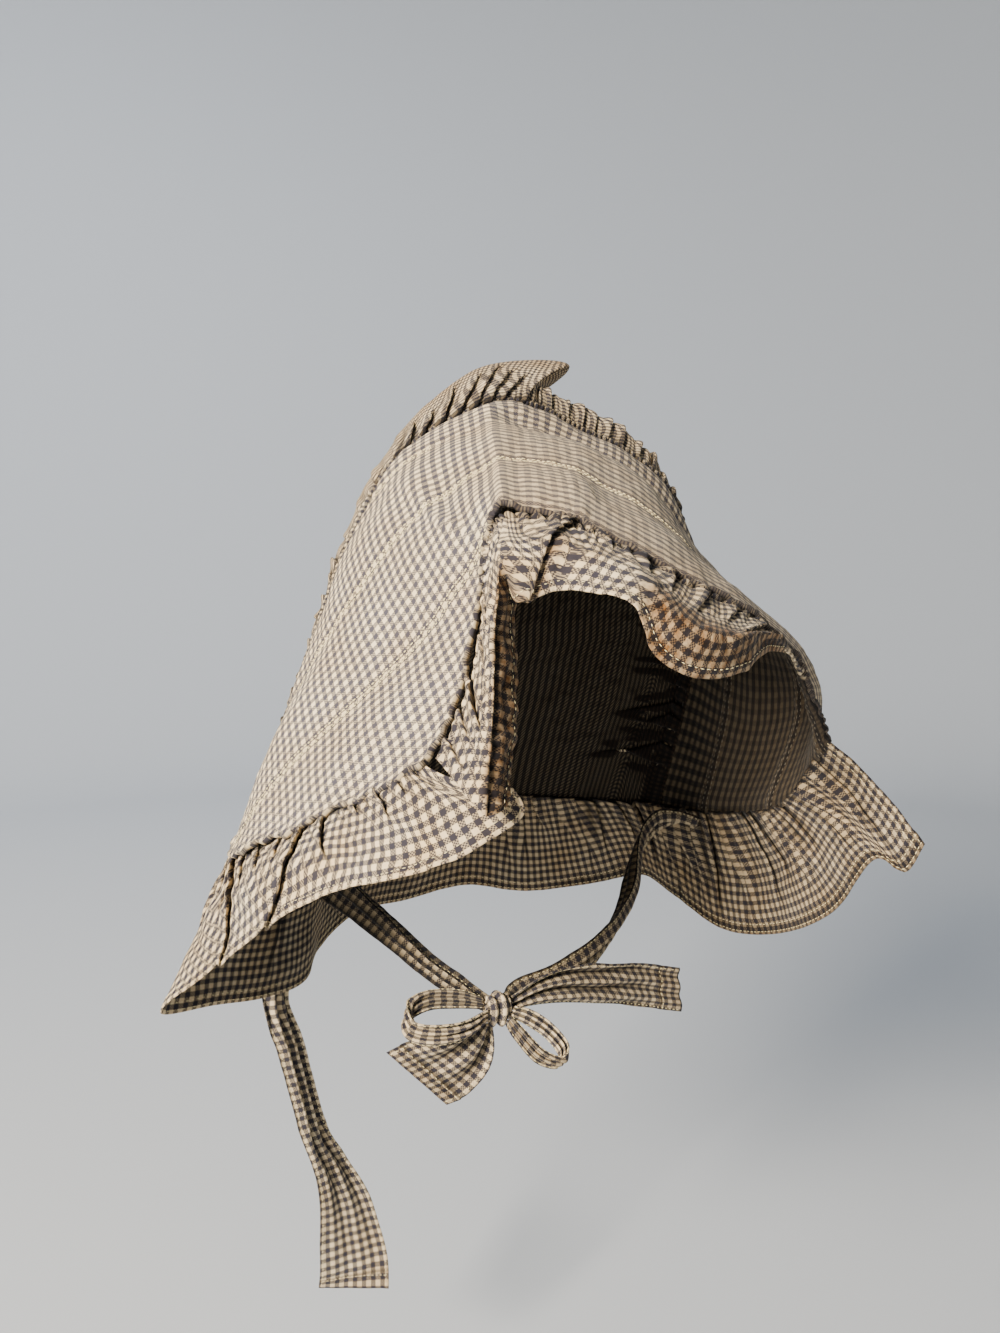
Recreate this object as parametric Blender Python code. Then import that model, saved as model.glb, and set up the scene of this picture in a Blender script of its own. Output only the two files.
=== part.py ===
"""Prairie bonnet of gingham cotton: a quilted brim folded at its ridge, a gathered crown, frills and ties.

The bonnet faces -Y, its wearer's left is +X and the crown is up. The origin is where the bonnet sits on the
top of the head. Tables are in millimetres and every mesh is made in metres.
"""

import math

import bmesh
import bpy
import numpy as np

MM = 0.001
BRIM_THICKNESS = 3.0
CLOTH_THICKNESS = 1.2
TIE_THICKNESS = 1.2
SEAM_GAP = 0.8
CURTAIN_GAP = 1.2
HEADING_WIDTH = 7.0
HEADING_LIFT = 0.35
HEADING_RIPPLE = 0.5
TIE_WIDTH = 42.0
SEAM_STEP = 0.03

BRIM_COLUMNS = 44
BRIM_ROWS = 12
CROWN_COLUMNS = 68
CURTAIN_COLUMNS = 96
CURTAIN_ROWS = 5
FRILL_COLUMNS = 60
FRILL_ROWS = 4

# Brim ribs from the wearer's right lower edge over the ridge to the left lower edge.
# Columns: the rib's point at the crown seam, at one third, at two thirds and at the front edge.
BRIM_RIBS = (
    ((-137, 42, -166), (-143, -2, -162), (-120, -60, -136), (-88, -119, -104)),
    ((-117, 45, -118), (-122, 2, -114), (-99, -58, -97), (-71, -110, -78)),
    ((-97, 42, -66), (-98, 2, -66), (-78, -52, -60), (-60, -101, -50)),
    ((-77, 36, -12), (-74, -4, -9), (-65, -54, -16), (-57, -99, -26)),
    ((-50, 34, 34), (-53, -4, 22), (-58, -54, -2), (-55, -99, -15)),
    ((-3, 27, 62), (-18, -17, 39), (-33, -60, 16), (-50, -104, -6)),
    ((23, 24, 61), (5, -24, 38), (-14, -72, 15), (-33, -119, -9)),
    ((48, 20, 55), (26, -30, 32), (3, -82, 8), (-21, -130, -15)),
    ((76, 15, 42), (54, -38, 16), (31, -94, -10), (6, -145, -33)),
    ((102, 8, 12), (80, -42, -14), (59, -96, -32), (37, -146, -46)),
    ((118, 8, -40), (114, -40, -54), (102, -92, -62), (70, -134, -65)),
    ((119, 18, -92), (123, -34, -104), (120, -88, -94), (87, -126, -85)),
    ((109, 36, -166), (126, -8, -164), (118, -70, -146), (105, -118, -106)),
)

# Soft creases of the worn brim. Columns: place round the brim, its spread, place forward, its spread, depth.
BRIM_CREASES = (
    (0.345, 0.022, 0.62, 0.30, -2.4),
    (0.285, 0.020, 0.40, 0.28, -1.6),
    (0.440, 0.018, 0.85, 0.16, -1.2),
    (0.600, 0.030, 0.70, 0.25, -1.5),
)
BRIM_WAVE_HEIGHT = 0.9
BRIM_WAVES_AROUND = 21.0
BRIM_WAVES_FORWARD = 4.0

# Crown sections behind its heading, each a share of the seam's arch drawn in towards the back.
# Columns: millimetres behind the seam, width share, width share at the neck, height share.
CROWN_SECTIONS = (
    (0, 1.00, 1.00, 1.00),
    (10, 0.98, 0.90, 1.01),
    (24, 0.94, 0.76, 0.99),
    (38, 0.86, 0.60, 0.95),
    (50, 0.74, 0.46, 0.90),
    (60, 0.56, 0.33, 0.83),
    (66, 0.31, 0.18, 0.77),
    (68, 0.00, 0.00, 0.73),
)
CROWN_CENTRE_X = -12.0
CROWN_CENTRE_Z = -60.0
CROWN_CENTRE_AHEAD = 30.0
CROWN_HEIGHT = 230.0
CROWN_SQUARENESS = 0.6
NECK_Z = -168.0
CROWN_GATHERS = 17
CROWN_GATHER_DEPTH = 2.6
CROWN_GATHER_SLANT = 2.5
CROWN_GATHER_FADE = 1.5
CROWN_GATHER_START = 6.0
CROWN_PUFF = 2.0
CROWN_PUFF_END = 2.2

# The crown's crest, a fold that stands on the ridge and leans over to the wearer's left.
# Columns: share round the seam, spread, then millimetres to the left, forwards and up at its top.
CREST_FOLDS = (
    (0.400, 0.056, (6, 4, 20)),
    (0.452, 0.034, (40, -6, 12)),
    (0.680, 0.120, (3, 0, 4)),
)
CREST_BACK = 0.20
CREST_DEPTH = 0.13

# Front frill: share of the brim's front edge, then the fold's crown and the hem at that place.
FRONT_FRILL_FOLDS = (
    (0.010, (-82, -160, -115), (-71, -154, -114)),
    (0.085, (-78, -154, -97), (-64, -143, -100)),
    (0.170, (-73, -146, -77), (-59, -135, -79)),
    (0.250, (-69, -137, -56), (-56, -126, -57)),
    (0.330, (-67, -135, -41), (-55, -123, -41)),
    (0.385, (-66, -136, -28), (-58, -130, -37)),
    (0.420, (-61, -139, -24), (-62, -148, -42)),
    (0.460, (-50, -141, -22), (-56, -149, -40)),
    (0.500, (-41, -144, -22), (-49, -150, -38)),
    (0.560, (-33, -155, -28), (-42, -164, -39)),
    (0.620, (-24, -168, -34), (-34, -177, -43)),
    (0.680, (-20, -182, -46), (-26, -178, -60)),
    (0.730, (-10, -188, -54), (-11, -180, -68)),
    (0.780, (4, -187, -54), (10, -178, -67)),
    (0.830, (22, -175, -53), (29, -167, -61)),
    (0.880, (44, -159, -55), (50, -152, -62)),
)

FRILL_RIPPLE = 1.1
FRILL_RIPPLE_TURN = 1.9

# Neck curtain, from its free front end at the wearer's right cheek round the back to the left cheek.
# Columns: share of the lower edge, then the hem's point.
CURTAIN_FOLDS = (
    (0.000, (-66, -148, -109)),
    (0.015, (-62, -150, -118)),
    (0.035, (-77, -150, -127)),
    (0.060, (-89, -146, -134)),
    (0.110, (-104, -130, -143)),
    (0.165, (-119, -100, -154)),
    (0.215, (-136, -65, -174)),
    (0.265, (-156, -31, -202)),
    (0.310, (-178, 0, -232)),
    (0.345, (-153, 12, -237)),
    (0.375, (-126, 22, -241)),
    (0.405, (-104, 40, -243)),
    (0.435, (-90, 66, -236)),
    (0.475, (-62, 88, -225)),
    (0.520, (-26, 112, -229)),
    (0.560, (16, 118, -226)),
    (0.605, (54, 104, -230)),
    (0.645, (88, 82, -224)),
    (0.690, (112, 58, -214)),
    (0.730, (118, 28, -220)),
    (0.775, (126, -6, -230)),
    (0.825, (133, -46, -222)),
    (0.880, (128, -94, -196)),
    (0.930, (123, -128, -160)),
    (0.970, (129, -141, -163)),
    (1.000, (131, -149, -149)),
)
CURTAIN_BELLY = 5.0
CURTAIN_BELLY_FADE = 0.4
CURTAIN_PLEAT = 1.3
CURTAIN_PLEAT_TURN = 1.57
CURTAIN_PLEAT_RISE = 1.4

# Ties. Columns: the ribbon's centre, the way its width lies, and its width as a share of the tie's.
CHIN_TIE_RIGHT = (
    ((-137.8, 26, -169.5), (0.0, 1.0, 0.0), 0.60),
    ((-127, 31, -171), (0.0, 0.9, -0.4), 0.64),
    ((-115, 36, -174), (0.1, 0.6, -0.8), 0.68),
    ((-103, 37, -180), (0.1, 0.3, -0.9), 0.72),
    ((-92, 25, -189), (0.1, 0.4, -0.9), 0.74),
    ((-81, 4, -197), (0.1, 0.5, -0.8), 0.72),
    ((-70, -22, -206), (0.2, 0.5, -0.8), 0.64),
    ((-58, -41, -216), (0.2, 0.5, -0.8), 0.48),
    ((-47, -53, -223), (0.2, 0.4, -0.9), 0.32),
    ((-41.7, -63.1, -225.4), (0.2, 0.3, -0.9), 0.20),
)
CHIN_TIE_LEFT = (
    ((115.2, 12, -169), (-0.1, 1.0, 0.0), 0.60),
    ((106, 19, -171), (0.0, 0.8, -0.4), 0.66),
    ((94, 22, -178), (-0.1, 0.5, -0.8), 0.70),
    ((80, 12, -190), (-0.1, 0.4, -0.9), 0.74),
    ((59, -14, -206), (-0.2, 0.5, -0.8), 0.70),
    ((31, -37, -217), (-0.2, 0.5, -0.8), 0.60),
    ((1, -48, -225), (-0.1, 0.5, -0.8), 0.44),
    ((-24, -54, -227), (0.0, 0.4, -0.9), 0.30),
    ((-33.6, -64.8, -226.4), (0.1, 0.3, -0.9), 0.18),
)
BOW_LOOP_RIGHT = (
    ((-45.4, -68.2, -222.7), (0.0, 0.3, 1.0), 0.12),
    ((-56, -66, -220), (0.1, 0.4, 1.0), 0.19),
    ((-70, -64, -219), (0.2, 0.5, 0.9), 0.21),
    ((-80, -66, -222), (0.3, 0.2, 0.9), 0.24),
    ((-81, -73, -227), (0.3, -0.2, 0.9), 0.24),
    ((-71, -78, -229), (0.2, 0.1, 1.0), 0.22),
    ((-57, -78, -229), (0.1, 0.1, 1.0), 0.20),
    ((-45.3, -72.6, -226.8), (0.0, 0.2, 1.0), 0.12),
)
BOW_LOOP_LEFT = (
    ((-33.2, -73.0, -226.8), (0.5, 0.3, 0.8), 0.12),
    ((-26, -75, -231), (0.6, 0.3, 0.7), 0.20),
    ((-19, -79, -237), (0.7, 0.2, 0.6), 0.22),
    ((-15, -85, -243), (0.8, 0.2, 0.4), 0.22),
    ((-19, -90, -244), (0.8, -0.1, 0.5), 0.22),
    ((-27, -88, -239), (0.7, -0.1, 0.6), 0.22),
    ((-33, -81, -232), (0.5, 0.0, 0.8), 0.16),
    ((-36.2, -75.2, -229.2), (0.6, 0.0, 0.7), 0.10),
)
BOW_TAIL_RIGHT = (
    ((-44.3, -69, -231.8), (0.8, 0.0, -0.6), 0.12),
    ((-52, -68, -237), (0.8, 0.0, -0.6), 0.36),
    ((-61, -68, -242), (0.8, 0.0, -0.6), 0.58),
    ((-70, -68, -247), (0.7, -0.1, -0.7), 0.76),
    ((-78, -68, -251), (0.7, -0.2, -0.7), 0.84),
)
BOW_TAIL_LEFT = (
    ((-32.2, -68, -225), (0.1, 0.1, 1.0), 0.16),
    ((-16, -68, -221), (0.1, 0.2, 1.0), 0.32),
    ((4, -66, -222), (0.0, 0.1, 1.0), 0.44),
    ((26, -62, -227), (0.0, 0.0, 1.0), 0.50),
    ((48, -58, -233), (0.0, 0.0, 1.0), 0.54),
    ((66, -56, -238), (-0.1, 0.0, 1.0), 0.56),
)
BACK_TIE = (
    ((-86.2, 89.8, -175.5), (0.8, 0.6, 0.0), 0.74),
    ((-98, 94, -206), (0.7, 0.7, 0.0), 0.60),
    ((-107, 90, -240), (0.7, 0.7, 0.0), 0.50),
    ((-110, 88, -271), (0.7, 0.7, 0.0), 0.45),
    ((-102, 89, -301), (0.7, 0.7, 0.0), 0.44),
    ((-95, 90, -330), (0.7, 0.7, 0.0), 0.44),
    ((-88, 90, -357), (0.7, 0.7, 0.0), 0.50),
    ((-79, 89, -378), (0.8, 0.6, 0.0), 0.60),
    ((-72, 88, -399), (0.9, 0.3, 0.0), 0.76),
    ((-69, 87, -419), (1.0, 0.1, 0.0), 0.88),
    ((-67, 86, -438), (1.0, -0.1, 0.1), 0.96),
    ((-67, 86, -453), (0.9, -0.4, 0.0), 1.00),
)
KNOT_CENTRE = (-39, -69, -226)
KNOT_SIZE = (13, 12, 15)
KNOT_FOLD = 0.06
KNOT_FOLDS = 3
KNOT_TWIST = 5.0

CREAM = (0.70, 0.60, 0.45)
SLATE = (0.24, 0.22, 0.24)
MIXED = (0.46, 0.40, 0.34)


def clear_scene():
    for obj in list(bpy.data.objects):
        bpy.data.objects.remove(obj, do_unlink=True)


def cotton(name, colour, roughness=0.9):
    material = bpy.data.materials.new(name)
    material.use_nodes = True
    shader = material.node_tree.nodes["Principled BSDF"]
    shader.inputs["Base Color"].default_value = (*colour, 1.0)
    shader.inputs["Roughness"].default_value = roughness
    shader.inputs["Metallic"].default_value = 0.0
    return material


def smooth(rows, places, share):
    """A smooth curve through rows at the given places, read at a share between the first and the last."""
    rows = np.asarray(rows, float)
    places = np.asarray(places, float)
    k = int(np.clip(np.searchsorted(places, share, side="right") - 1, 0, len(rows) - 2))
    span = places[k + 1] - places[k]
    t = (share - places[k]) / span

    def slope(i):
        low = max(i - 1, 0)
        high = min(i + 1, len(rows) - 1)
        return (rows[high] - rows[low]) / (places[high] - places[low])

    start_slope = slope(k) * span
    end_slope = slope(k + 1) * span
    return (
        (2 * t**3 - 3 * t**2 + 1) * rows[k]
        + (t**3 - 2 * t**2 + t) * start_slope
        + (3 * t**2 - 2 * t**3) * rows[k + 1]
        + (t**3 - t**2) * end_slope
    )


def even(count):
    return np.linspace(0.0, 1.0, count)


def unit(vector):
    vector = np.asarray(vector, float)
    return vector / max(np.linalg.norm(vector), 1e-9)


def bell(value, middle, spread):
    return math.exp(-(((value - middle) / spread) ** 2))


def brim_point(around, forward):
    """A point of the brim, around from the right lower edge to the left and forward from the crown seam."""
    ribs = np.array(BRIM_RIBS, float)
    rib = smooth(ribs.reshape(len(ribs), -1), even(len(ribs)), around).reshape(4, 3)
    return smooth(rib, even(4), forward)


def brim_outward(around, forward):
    """The brim's outward normal."""
    step = 0.01
    low_a, high_a = max(around - step, 0.0), min(around + step, 1.0)
    low_f, high_f = max(forward - step, 0.0), min(forward + step, 1.0)
    across = brim_point(high_a, forward) - brim_point(low_a, forward)
    along = brim_point(around, high_f) - brim_point(around, low_f)
    return unit(np.cross(along, across))


def brim_wrinkle(around, forward):
    """Soft dents of the worn cloth, in millimetres along the normal."""
    middle = 4.0 * forward * (1.0 - forward)
    lift = BRIM_WAVE_HEIGHT * middle * math.sin(BRIM_WAVES_AROUND * around + BRIM_WAVES_FORWARD * forward)
    for place, spread, ahead, reach, depth in BRIM_CREASES:
        lift += depth * bell(around, place, spread) * bell(forward, ahead, reach)
    return lift


def brim_surface():
    grid = []
    for around in even(BRIM_COLUMNS):
        column = []
        for forward in even(BRIM_ROWS):
            lift = brim_wrinkle(around, forward)
            column.append(brim_point(around, forward) + lift * brim_outward(around, forward))
        grid.append(column)
    return np.array(grid)


def seam_onward(around):
    return unit(brim_point(around, 0.0) - brim_point(around, SEAM_STEP))


def seam_direction(around):
    """The way the heading stands off the crown seam: on backwards from the brim and outwards."""
    onward = seam_onward(around)
    lift = HEADING_LIFT * math.sin(math.pi * around) ** 3
    return unit(onward + lift * brim_outward(around, 0.0))


def heading_surface():
    grid = []
    for index, around in enumerate(even(CROWN_COLUMNS)):
        foot = brim_point(around, 0.0) + SEAM_GAP * seam_onward(around)
        ripple = HEADING_RIPPLE * (-1) ** index * brim_outward(around, 0.0)
        top = foot + HEADING_WIDTH * seam_direction(around) + ripple
        grid.append([foot, (foot + top) / 2, top])
    return np.array(grid)


def crown_seam(around):
    offset = (HEADING_WIDTH + SEAM_GAP) * seam_direction(around)
    return brim_point(around, 0.0) + SEAM_GAP * seam_onward(around) + offset


def crown_point(around, back):
    """A point of the crown: the seam's arch drawn in and up towards the centre back."""
    places = even(len(CROWN_SECTIONS))
    behind, width, neck_width, height = smooth(CROWN_SECTIONS, places, back)
    seam = crown_seam(around)
    rise = np.clip((seam[2] - NECK_Z) / CROWN_HEIGHT, 0.0, 1.0)
    share = neck_width + (width - neck_width) * rise**CROWN_SQUARENESS
    x = CROWN_CENTRE_X + (seam[0] - CROWN_CENTRE_X) * share
    z = NECK_Z + (seam[2] - NECK_Z) * (1.0 + (height - 1.0) * rise)
    return np.array([x, seam[1] + behind, z])


def crown_surface():
    """The crown with its gathers, closed down the centre back."""
    rows = 2 * len(CROWN_SECTIONS) - 2
    grid = []
    for around in even(CROWN_COLUMNS):
        column = []
        ends = math.sin(math.pi * around) ** 0.5
        for back in even(rows):
            point = crown_point(around, back)
            centre = np.array([CROWN_CENTRE_X, point[1] - CROWN_CENTRE_AHEAD, CROWN_CENTRE_Z])
            outward = unit(point - centre)
            wave = math.cos(2 * math.pi * CROWN_GATHERS * around + CROWN_GATHER_SLANT * back)
            start = min(1.0, CROWN_GATHER_START * back + 0.15)
            depth = CROWN_GATHER_DEPTH * ends * start * (1.0 - back) ** CROWN_GATHER_FADE
            puff = CROWN_PUFF * ends * math.sin(math.pi * min(1.0, CROWN_PUFF_END * back))
            point = point + (depth * wave + puff) * outward
            crest = bell(back, CREST_BACK, CREST_DEPTH)
            for place, spread, top in CREST_FOLDS:
                point = point + crest * bell(around, place, spread) * np.array(top)
            column.append(point)
        grid.append(column)
    grid = np.array(grid)
    closing = (grid[:, -1] + grid[::-1, -1]) / 2
    grid[:, -1] = closing
    return grid


def front_edge(share):
    """A point just in front of the brim's front edge."""
    onward = unit(brim_point(share, 1.0) - brim_point(share, 1.0 - SEAM_STEP))
    return brim_point(share, 1.0) + SEAM_GAP * onward


def front_frill_surface():
    first = FRONT_FRILL_FOLDS[0][0]
    last = FRONT_FRILL_FOLDS[-1][0]
    places = [row[0] for row in FRONT_FRILL_FOLDS]
    folds = [row[1] for row in FRONT_FRILL_FOLDS]
    hems = [row[2] for row in FRONT_FRILL_FOLDS]
    grid = []
    for index in range(FRILL_COLUMNS):
        share = first + (last - first) * index / (FRILL_COLUMNS - 1)
        seam = front_edge(share)
        fold = smooth(folds, places, share)
        hem = smooth(hems, places, share)
        ripple = FRILL_RIPPLE * math.sin(index * FRILL_RIPPLE_TURN) * brim_outward(share, 1.0)
        line = [seam, (seam + fold) / 2 + ripple, fold, hem]
        grid.append([smooth(line, even(4), row) for row in even(FRILL_ROWS + 1)])
    return np.array(grid)


def brim_hem(around, inner, forward):
    """A point just below the brim's lower edge, in line with the brim."""
    edge = brim_point(around, forward)
    return edge + CURTAIN_GAP * unit(edge - brim_point(inner, forward))


def lower_edge():
    """The line just below the bonnet's lower edge, from the right cheek round the nape to the left cheek."""
    below_crown = np.array([0.0, 0.0, -CURTAIN_GAP])
    points = [brim_hem(0.0, 0.02, forward) for forward in np.linspace(1.0, 0.0, 14)]
    points += [crown_point(0.0, back) + below_crown for back in np.linspace(0.1, 1.0, 10)]
    points += [crown_point(1.0, back) + below_crown for back in np.linspace(0.9, 0.1, 9)]
    points += [brim_hem(1.0, 0.98, forward) for forward in np.linspace(0.0, 1.0, 14)]
    return np.array(points)


def along(points, share):
    """The point at a share of a polyline's length."""
    steps = np.linalg.norm(np.diff(points, axis=0), axis=1)
    lengths = np.concatenate([[0.0], np.cumsum(steps)]) / steps.sum()
    return np.array([np.interp(share, lengths, points[:, axis]) for axis in range(3)])


def curtain_surface():
    edge = lower_edge()
    places = [row[0] for row in CURTAIN_FOLDS]
    hems = [row[1] for row in CURTAIN_FOLDS]
    grid = []
    for index, share in enumerate(even(CURTAIN_COLUMNS)):
        hem = smooth(hems, places, share)
        seam = along(edge, share)
        tangent = along(edge, min(share + 0.01, 1.0)) - along(edge, max(share - 0.01, 0.0))
        outward = unit(np.cross(tangent, seam - hem))
        column = []
        for down in even(CURTAIN_ROWS + 1):
            belly = CURTAIN_BELLY * math.sin(math.pi * down) * (1.0 - CURTAIN_BELLY_FADE * down)
            fade = math.sin(math.pi * min(1.0, CURTAIN_PLEAT_RISE * down)) * (1.0 - down)
            pleat = CURTAIN_PLEAT * math.sin(index * CURTAIN_PLEAT_TURN) * fade
            column.append(seam + (hem - seam) * down - outward * (belly + pleat))
        grid.append(column)
    return np.array(grid)


def ribbon_surface(rows, columns, across_rows=2):
    """A strip of cloth along a table of centres, with its width laid along the named way."""
    centres = [row[0] for row in rows]
    ways = [row[1] for row in rows]
    widths = [[row[2]] for row in rows]
    places = even(len(rows))
    grid = []
    for share in even(columns):
        centre = smooth(centres, places, share)
        way = unit(smooth(ways, places, share))
        width = TIE_WIDTH * smooth(widths, places, share)[0]
        grid.append([centre + way * width * (t - 0.5) for t in even(across_rows + 1)])
    return np.array(grid)


def add_cloth(name, grid, thickness, material):
    """A closed sheet of cloth with the grid as its middle surface."""
    columns, rows = grid.shape[:2]
    sheet = bmesh.new()
    points = [[sheet.verts.new(grid[i, j] * MM) for j in range(rows)] for i in range(columns)]
    for i in range(columns - 1):
        for j in range(rows - 1):
            sheet.faces.new((points[i][j], points[i + 1][j], points[i + 1][j + 1], points[i][j + 1]))
    bmesh.ops.remove_doubles(sheet, verts=sheet.verts, dist=0.00001)
    bmesh.ops.recalc_face_normals(sheet, faces=sheet.faces)
    mesh = bpy.data.meshes.new(name)
    sheet.to_mesh(mesh)
    sheet.free()
    obj = bpy.data.objects.new(name, mesh)
    bpy.context.scene.collection.objects.link(obj)
    obj.data.materials.append(material)
    wall = obj.modifiers.new("wall", "SOLIDIFY")
    wall.thickness = thickness * MM
    wall.offset = 0.0
    wall.use_even_offset = False
    wall.use_quality_normals = True
    mesh.shade_smooth()
    return obj


def add_knot(material):
    """The bow's knot, a rounded lump of folded tie."""
    lump = bmesh.new()
    bmesh.ops.create_uvsphere(lump, u_segments=14, v_segments=9, radius=0.5)
    for vert in lump.verts:
        turn = math.atan2(vert.co.z, vert.co.x)
        fold = 1.0 + KNOT_FOLD * math.cos(KNOT_FOLDS * turn + KNOT_TWIST * vert.co.y)
        for axis in range(3):
            vert.co[axis] = (vert.co[axis] * fold * KNOT_SIZE[axis] + KNOT_CENTRE[axis]) * MM
    mesh = bpy.data.meshes.new("bow_knot")
    lump.to_mesh(mesh)
    lump.free()
    obj = bpy.data.objects.new("bow_knot", mesh)
    bpy.context.scene.collection.objects.link(obj)
    obj.data.materials.append(material)
    mesh.shade_smooth()
    return obj


def main():
    clear_scene()
    quilted = cotton("quilted gingham", CREAM)
    gathered = cotton("gathered gingham", MIXED)
    tie_cloth = cotton("tie gingham", SLATE)
    add_cloth("brim", brim_surface(), BRIM_THICKNESS, quilted)
    add_cloth("crown_heading", heading_surface(), CLOTH_THICKNESS, gathered)
    add_cloth("crown", crown_surface(), CLOTH_THICKNESS, gathered)
    add_cloth("front_frill", front_frill_surface(), CLOTH_THICKNESS, gathered)
    add_cloth("neck_curtain", curtain_surface(), CLOTH_THICKNESS, gathered)
    add_cloth("chin_tie_right", ribbon_surface(CHIN_TIE_RIGHT, 22), TIE_THICKNESS, tie_cloth)
    add_cloth("chin_tie_left", ribbon_surface(CHIN_TIE_LEFT, 22), TIE_THICKNESS, tie_cloth)
    add_cloth("bow_loop_right", ribbon_surface(BOW_LOOP_RIGHT, 20), TIE_THICKNESS, tie_cloth)
    add_cloth("bow_loop_left", ribbon_surface(BOW_LOOP_LEFT, 18), TIE_THICKNESS, tie_cloth)
    add_cloth("bow_tail_right", ribbon_surface(BOW_TAIL_RIGHT, 9, 3), TIE_THICKNESS, tie_cloth)
    add_cloth("bow_tail_left", ribbon_surface(BOW_TAIL_LEFT, 14), TIE_THICKNESS, tie_cloth)
    add_cloth("back_tie", ribbon_surface(BACK_TIE, 26), TIE_THICKNESS, tie_cloth)
    add_knot(tie_cloth)


main()
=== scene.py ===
import math
import random

import bmesh
import bpy
import numpy as np
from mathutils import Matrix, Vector, noise


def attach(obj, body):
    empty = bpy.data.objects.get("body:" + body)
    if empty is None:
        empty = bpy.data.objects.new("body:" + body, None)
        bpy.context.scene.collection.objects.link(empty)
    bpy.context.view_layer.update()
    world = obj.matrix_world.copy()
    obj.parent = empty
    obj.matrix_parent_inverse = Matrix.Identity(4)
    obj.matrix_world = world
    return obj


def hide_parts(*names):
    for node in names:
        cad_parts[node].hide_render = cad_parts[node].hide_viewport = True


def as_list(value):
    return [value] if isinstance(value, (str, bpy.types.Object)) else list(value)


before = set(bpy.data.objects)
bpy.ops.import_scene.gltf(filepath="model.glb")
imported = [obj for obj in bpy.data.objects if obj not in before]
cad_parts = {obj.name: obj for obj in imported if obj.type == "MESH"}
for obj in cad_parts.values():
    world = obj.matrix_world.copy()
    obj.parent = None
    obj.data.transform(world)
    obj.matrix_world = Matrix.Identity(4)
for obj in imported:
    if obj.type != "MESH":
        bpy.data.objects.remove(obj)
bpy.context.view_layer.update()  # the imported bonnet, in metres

mm = 0.001
random.seed(11)
print("frame loaded:", len(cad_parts), "nodes")


# Cloth

cloth = {
    "repeat": 5.5,  # mm from one dark stripe to the next
    "edge": 0.14,  # mm over which a stripe's edge blurs
    "thread": 0.69,  # mm, twice the real yarn spacing so that it shows
    "halfTone": 0.76,  # how dark a square of crossed cream and slate yarns looks
    "threadShow": 0.22,  # how far its over and under yarns part in colour
    "cream": "#f0e0bb",
    "slate": "#393842",
    "worn": "#4a4851",  # the slate after years of sun
    "brown": "#865f30",
    # the colour that grime and painted shade darken the cloth towards
    "grimeAndShade": "#2b2320",
    "warm": "#d8b98a",
    "stitch": "#f2e2ac",
    # painted shade inside a needle hole
    "hole": "#1f1a18",
    # the thread on the lining, a darker copy of the stitch colour: painted shade
    "innerStitch": "#6b6252",
}


def linear(hexColour):
    channels = [int(hexColour[i:i + 2], 16) / 255 for i in (1, 3, 5)]
    return [c / 12.92 if c <= 0.04045 else ((c + 0.055) / 1.055) ** 2.4 for c in channels] + [1.0]


def addNode(tree, kind, settings=None, links=None):  # a link starts at a socket, or at a node's first output
    node = tree.nodes.new(kind)
    for name, value in (settings or {}).items():
        if isinstance(name, str) and hasattr(node, name):
            setattr(node, name, value)
        else:
            node.inputs[name].default_value = value
    for name, source in (links or {}).items():
        tree.links.new(source.outputs[0] if hasattr(source, "outputs") else source, node.inputs[name])
    return node


def addObject(name, data):
    made = bpy.data.objects.new(name, data)
    bpy.context.scene.collection.objects.link(made)
    return made


def newMaterial(name, roughness):
    material = bpy.data.materials.new(name)
    material.use_nodes = True
    shader = material.node_tree.nodes["Principled BSDF"]
    shader.inputs["Roughness"].default_value = roughness
    return material, material.node_tree, shader


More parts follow.
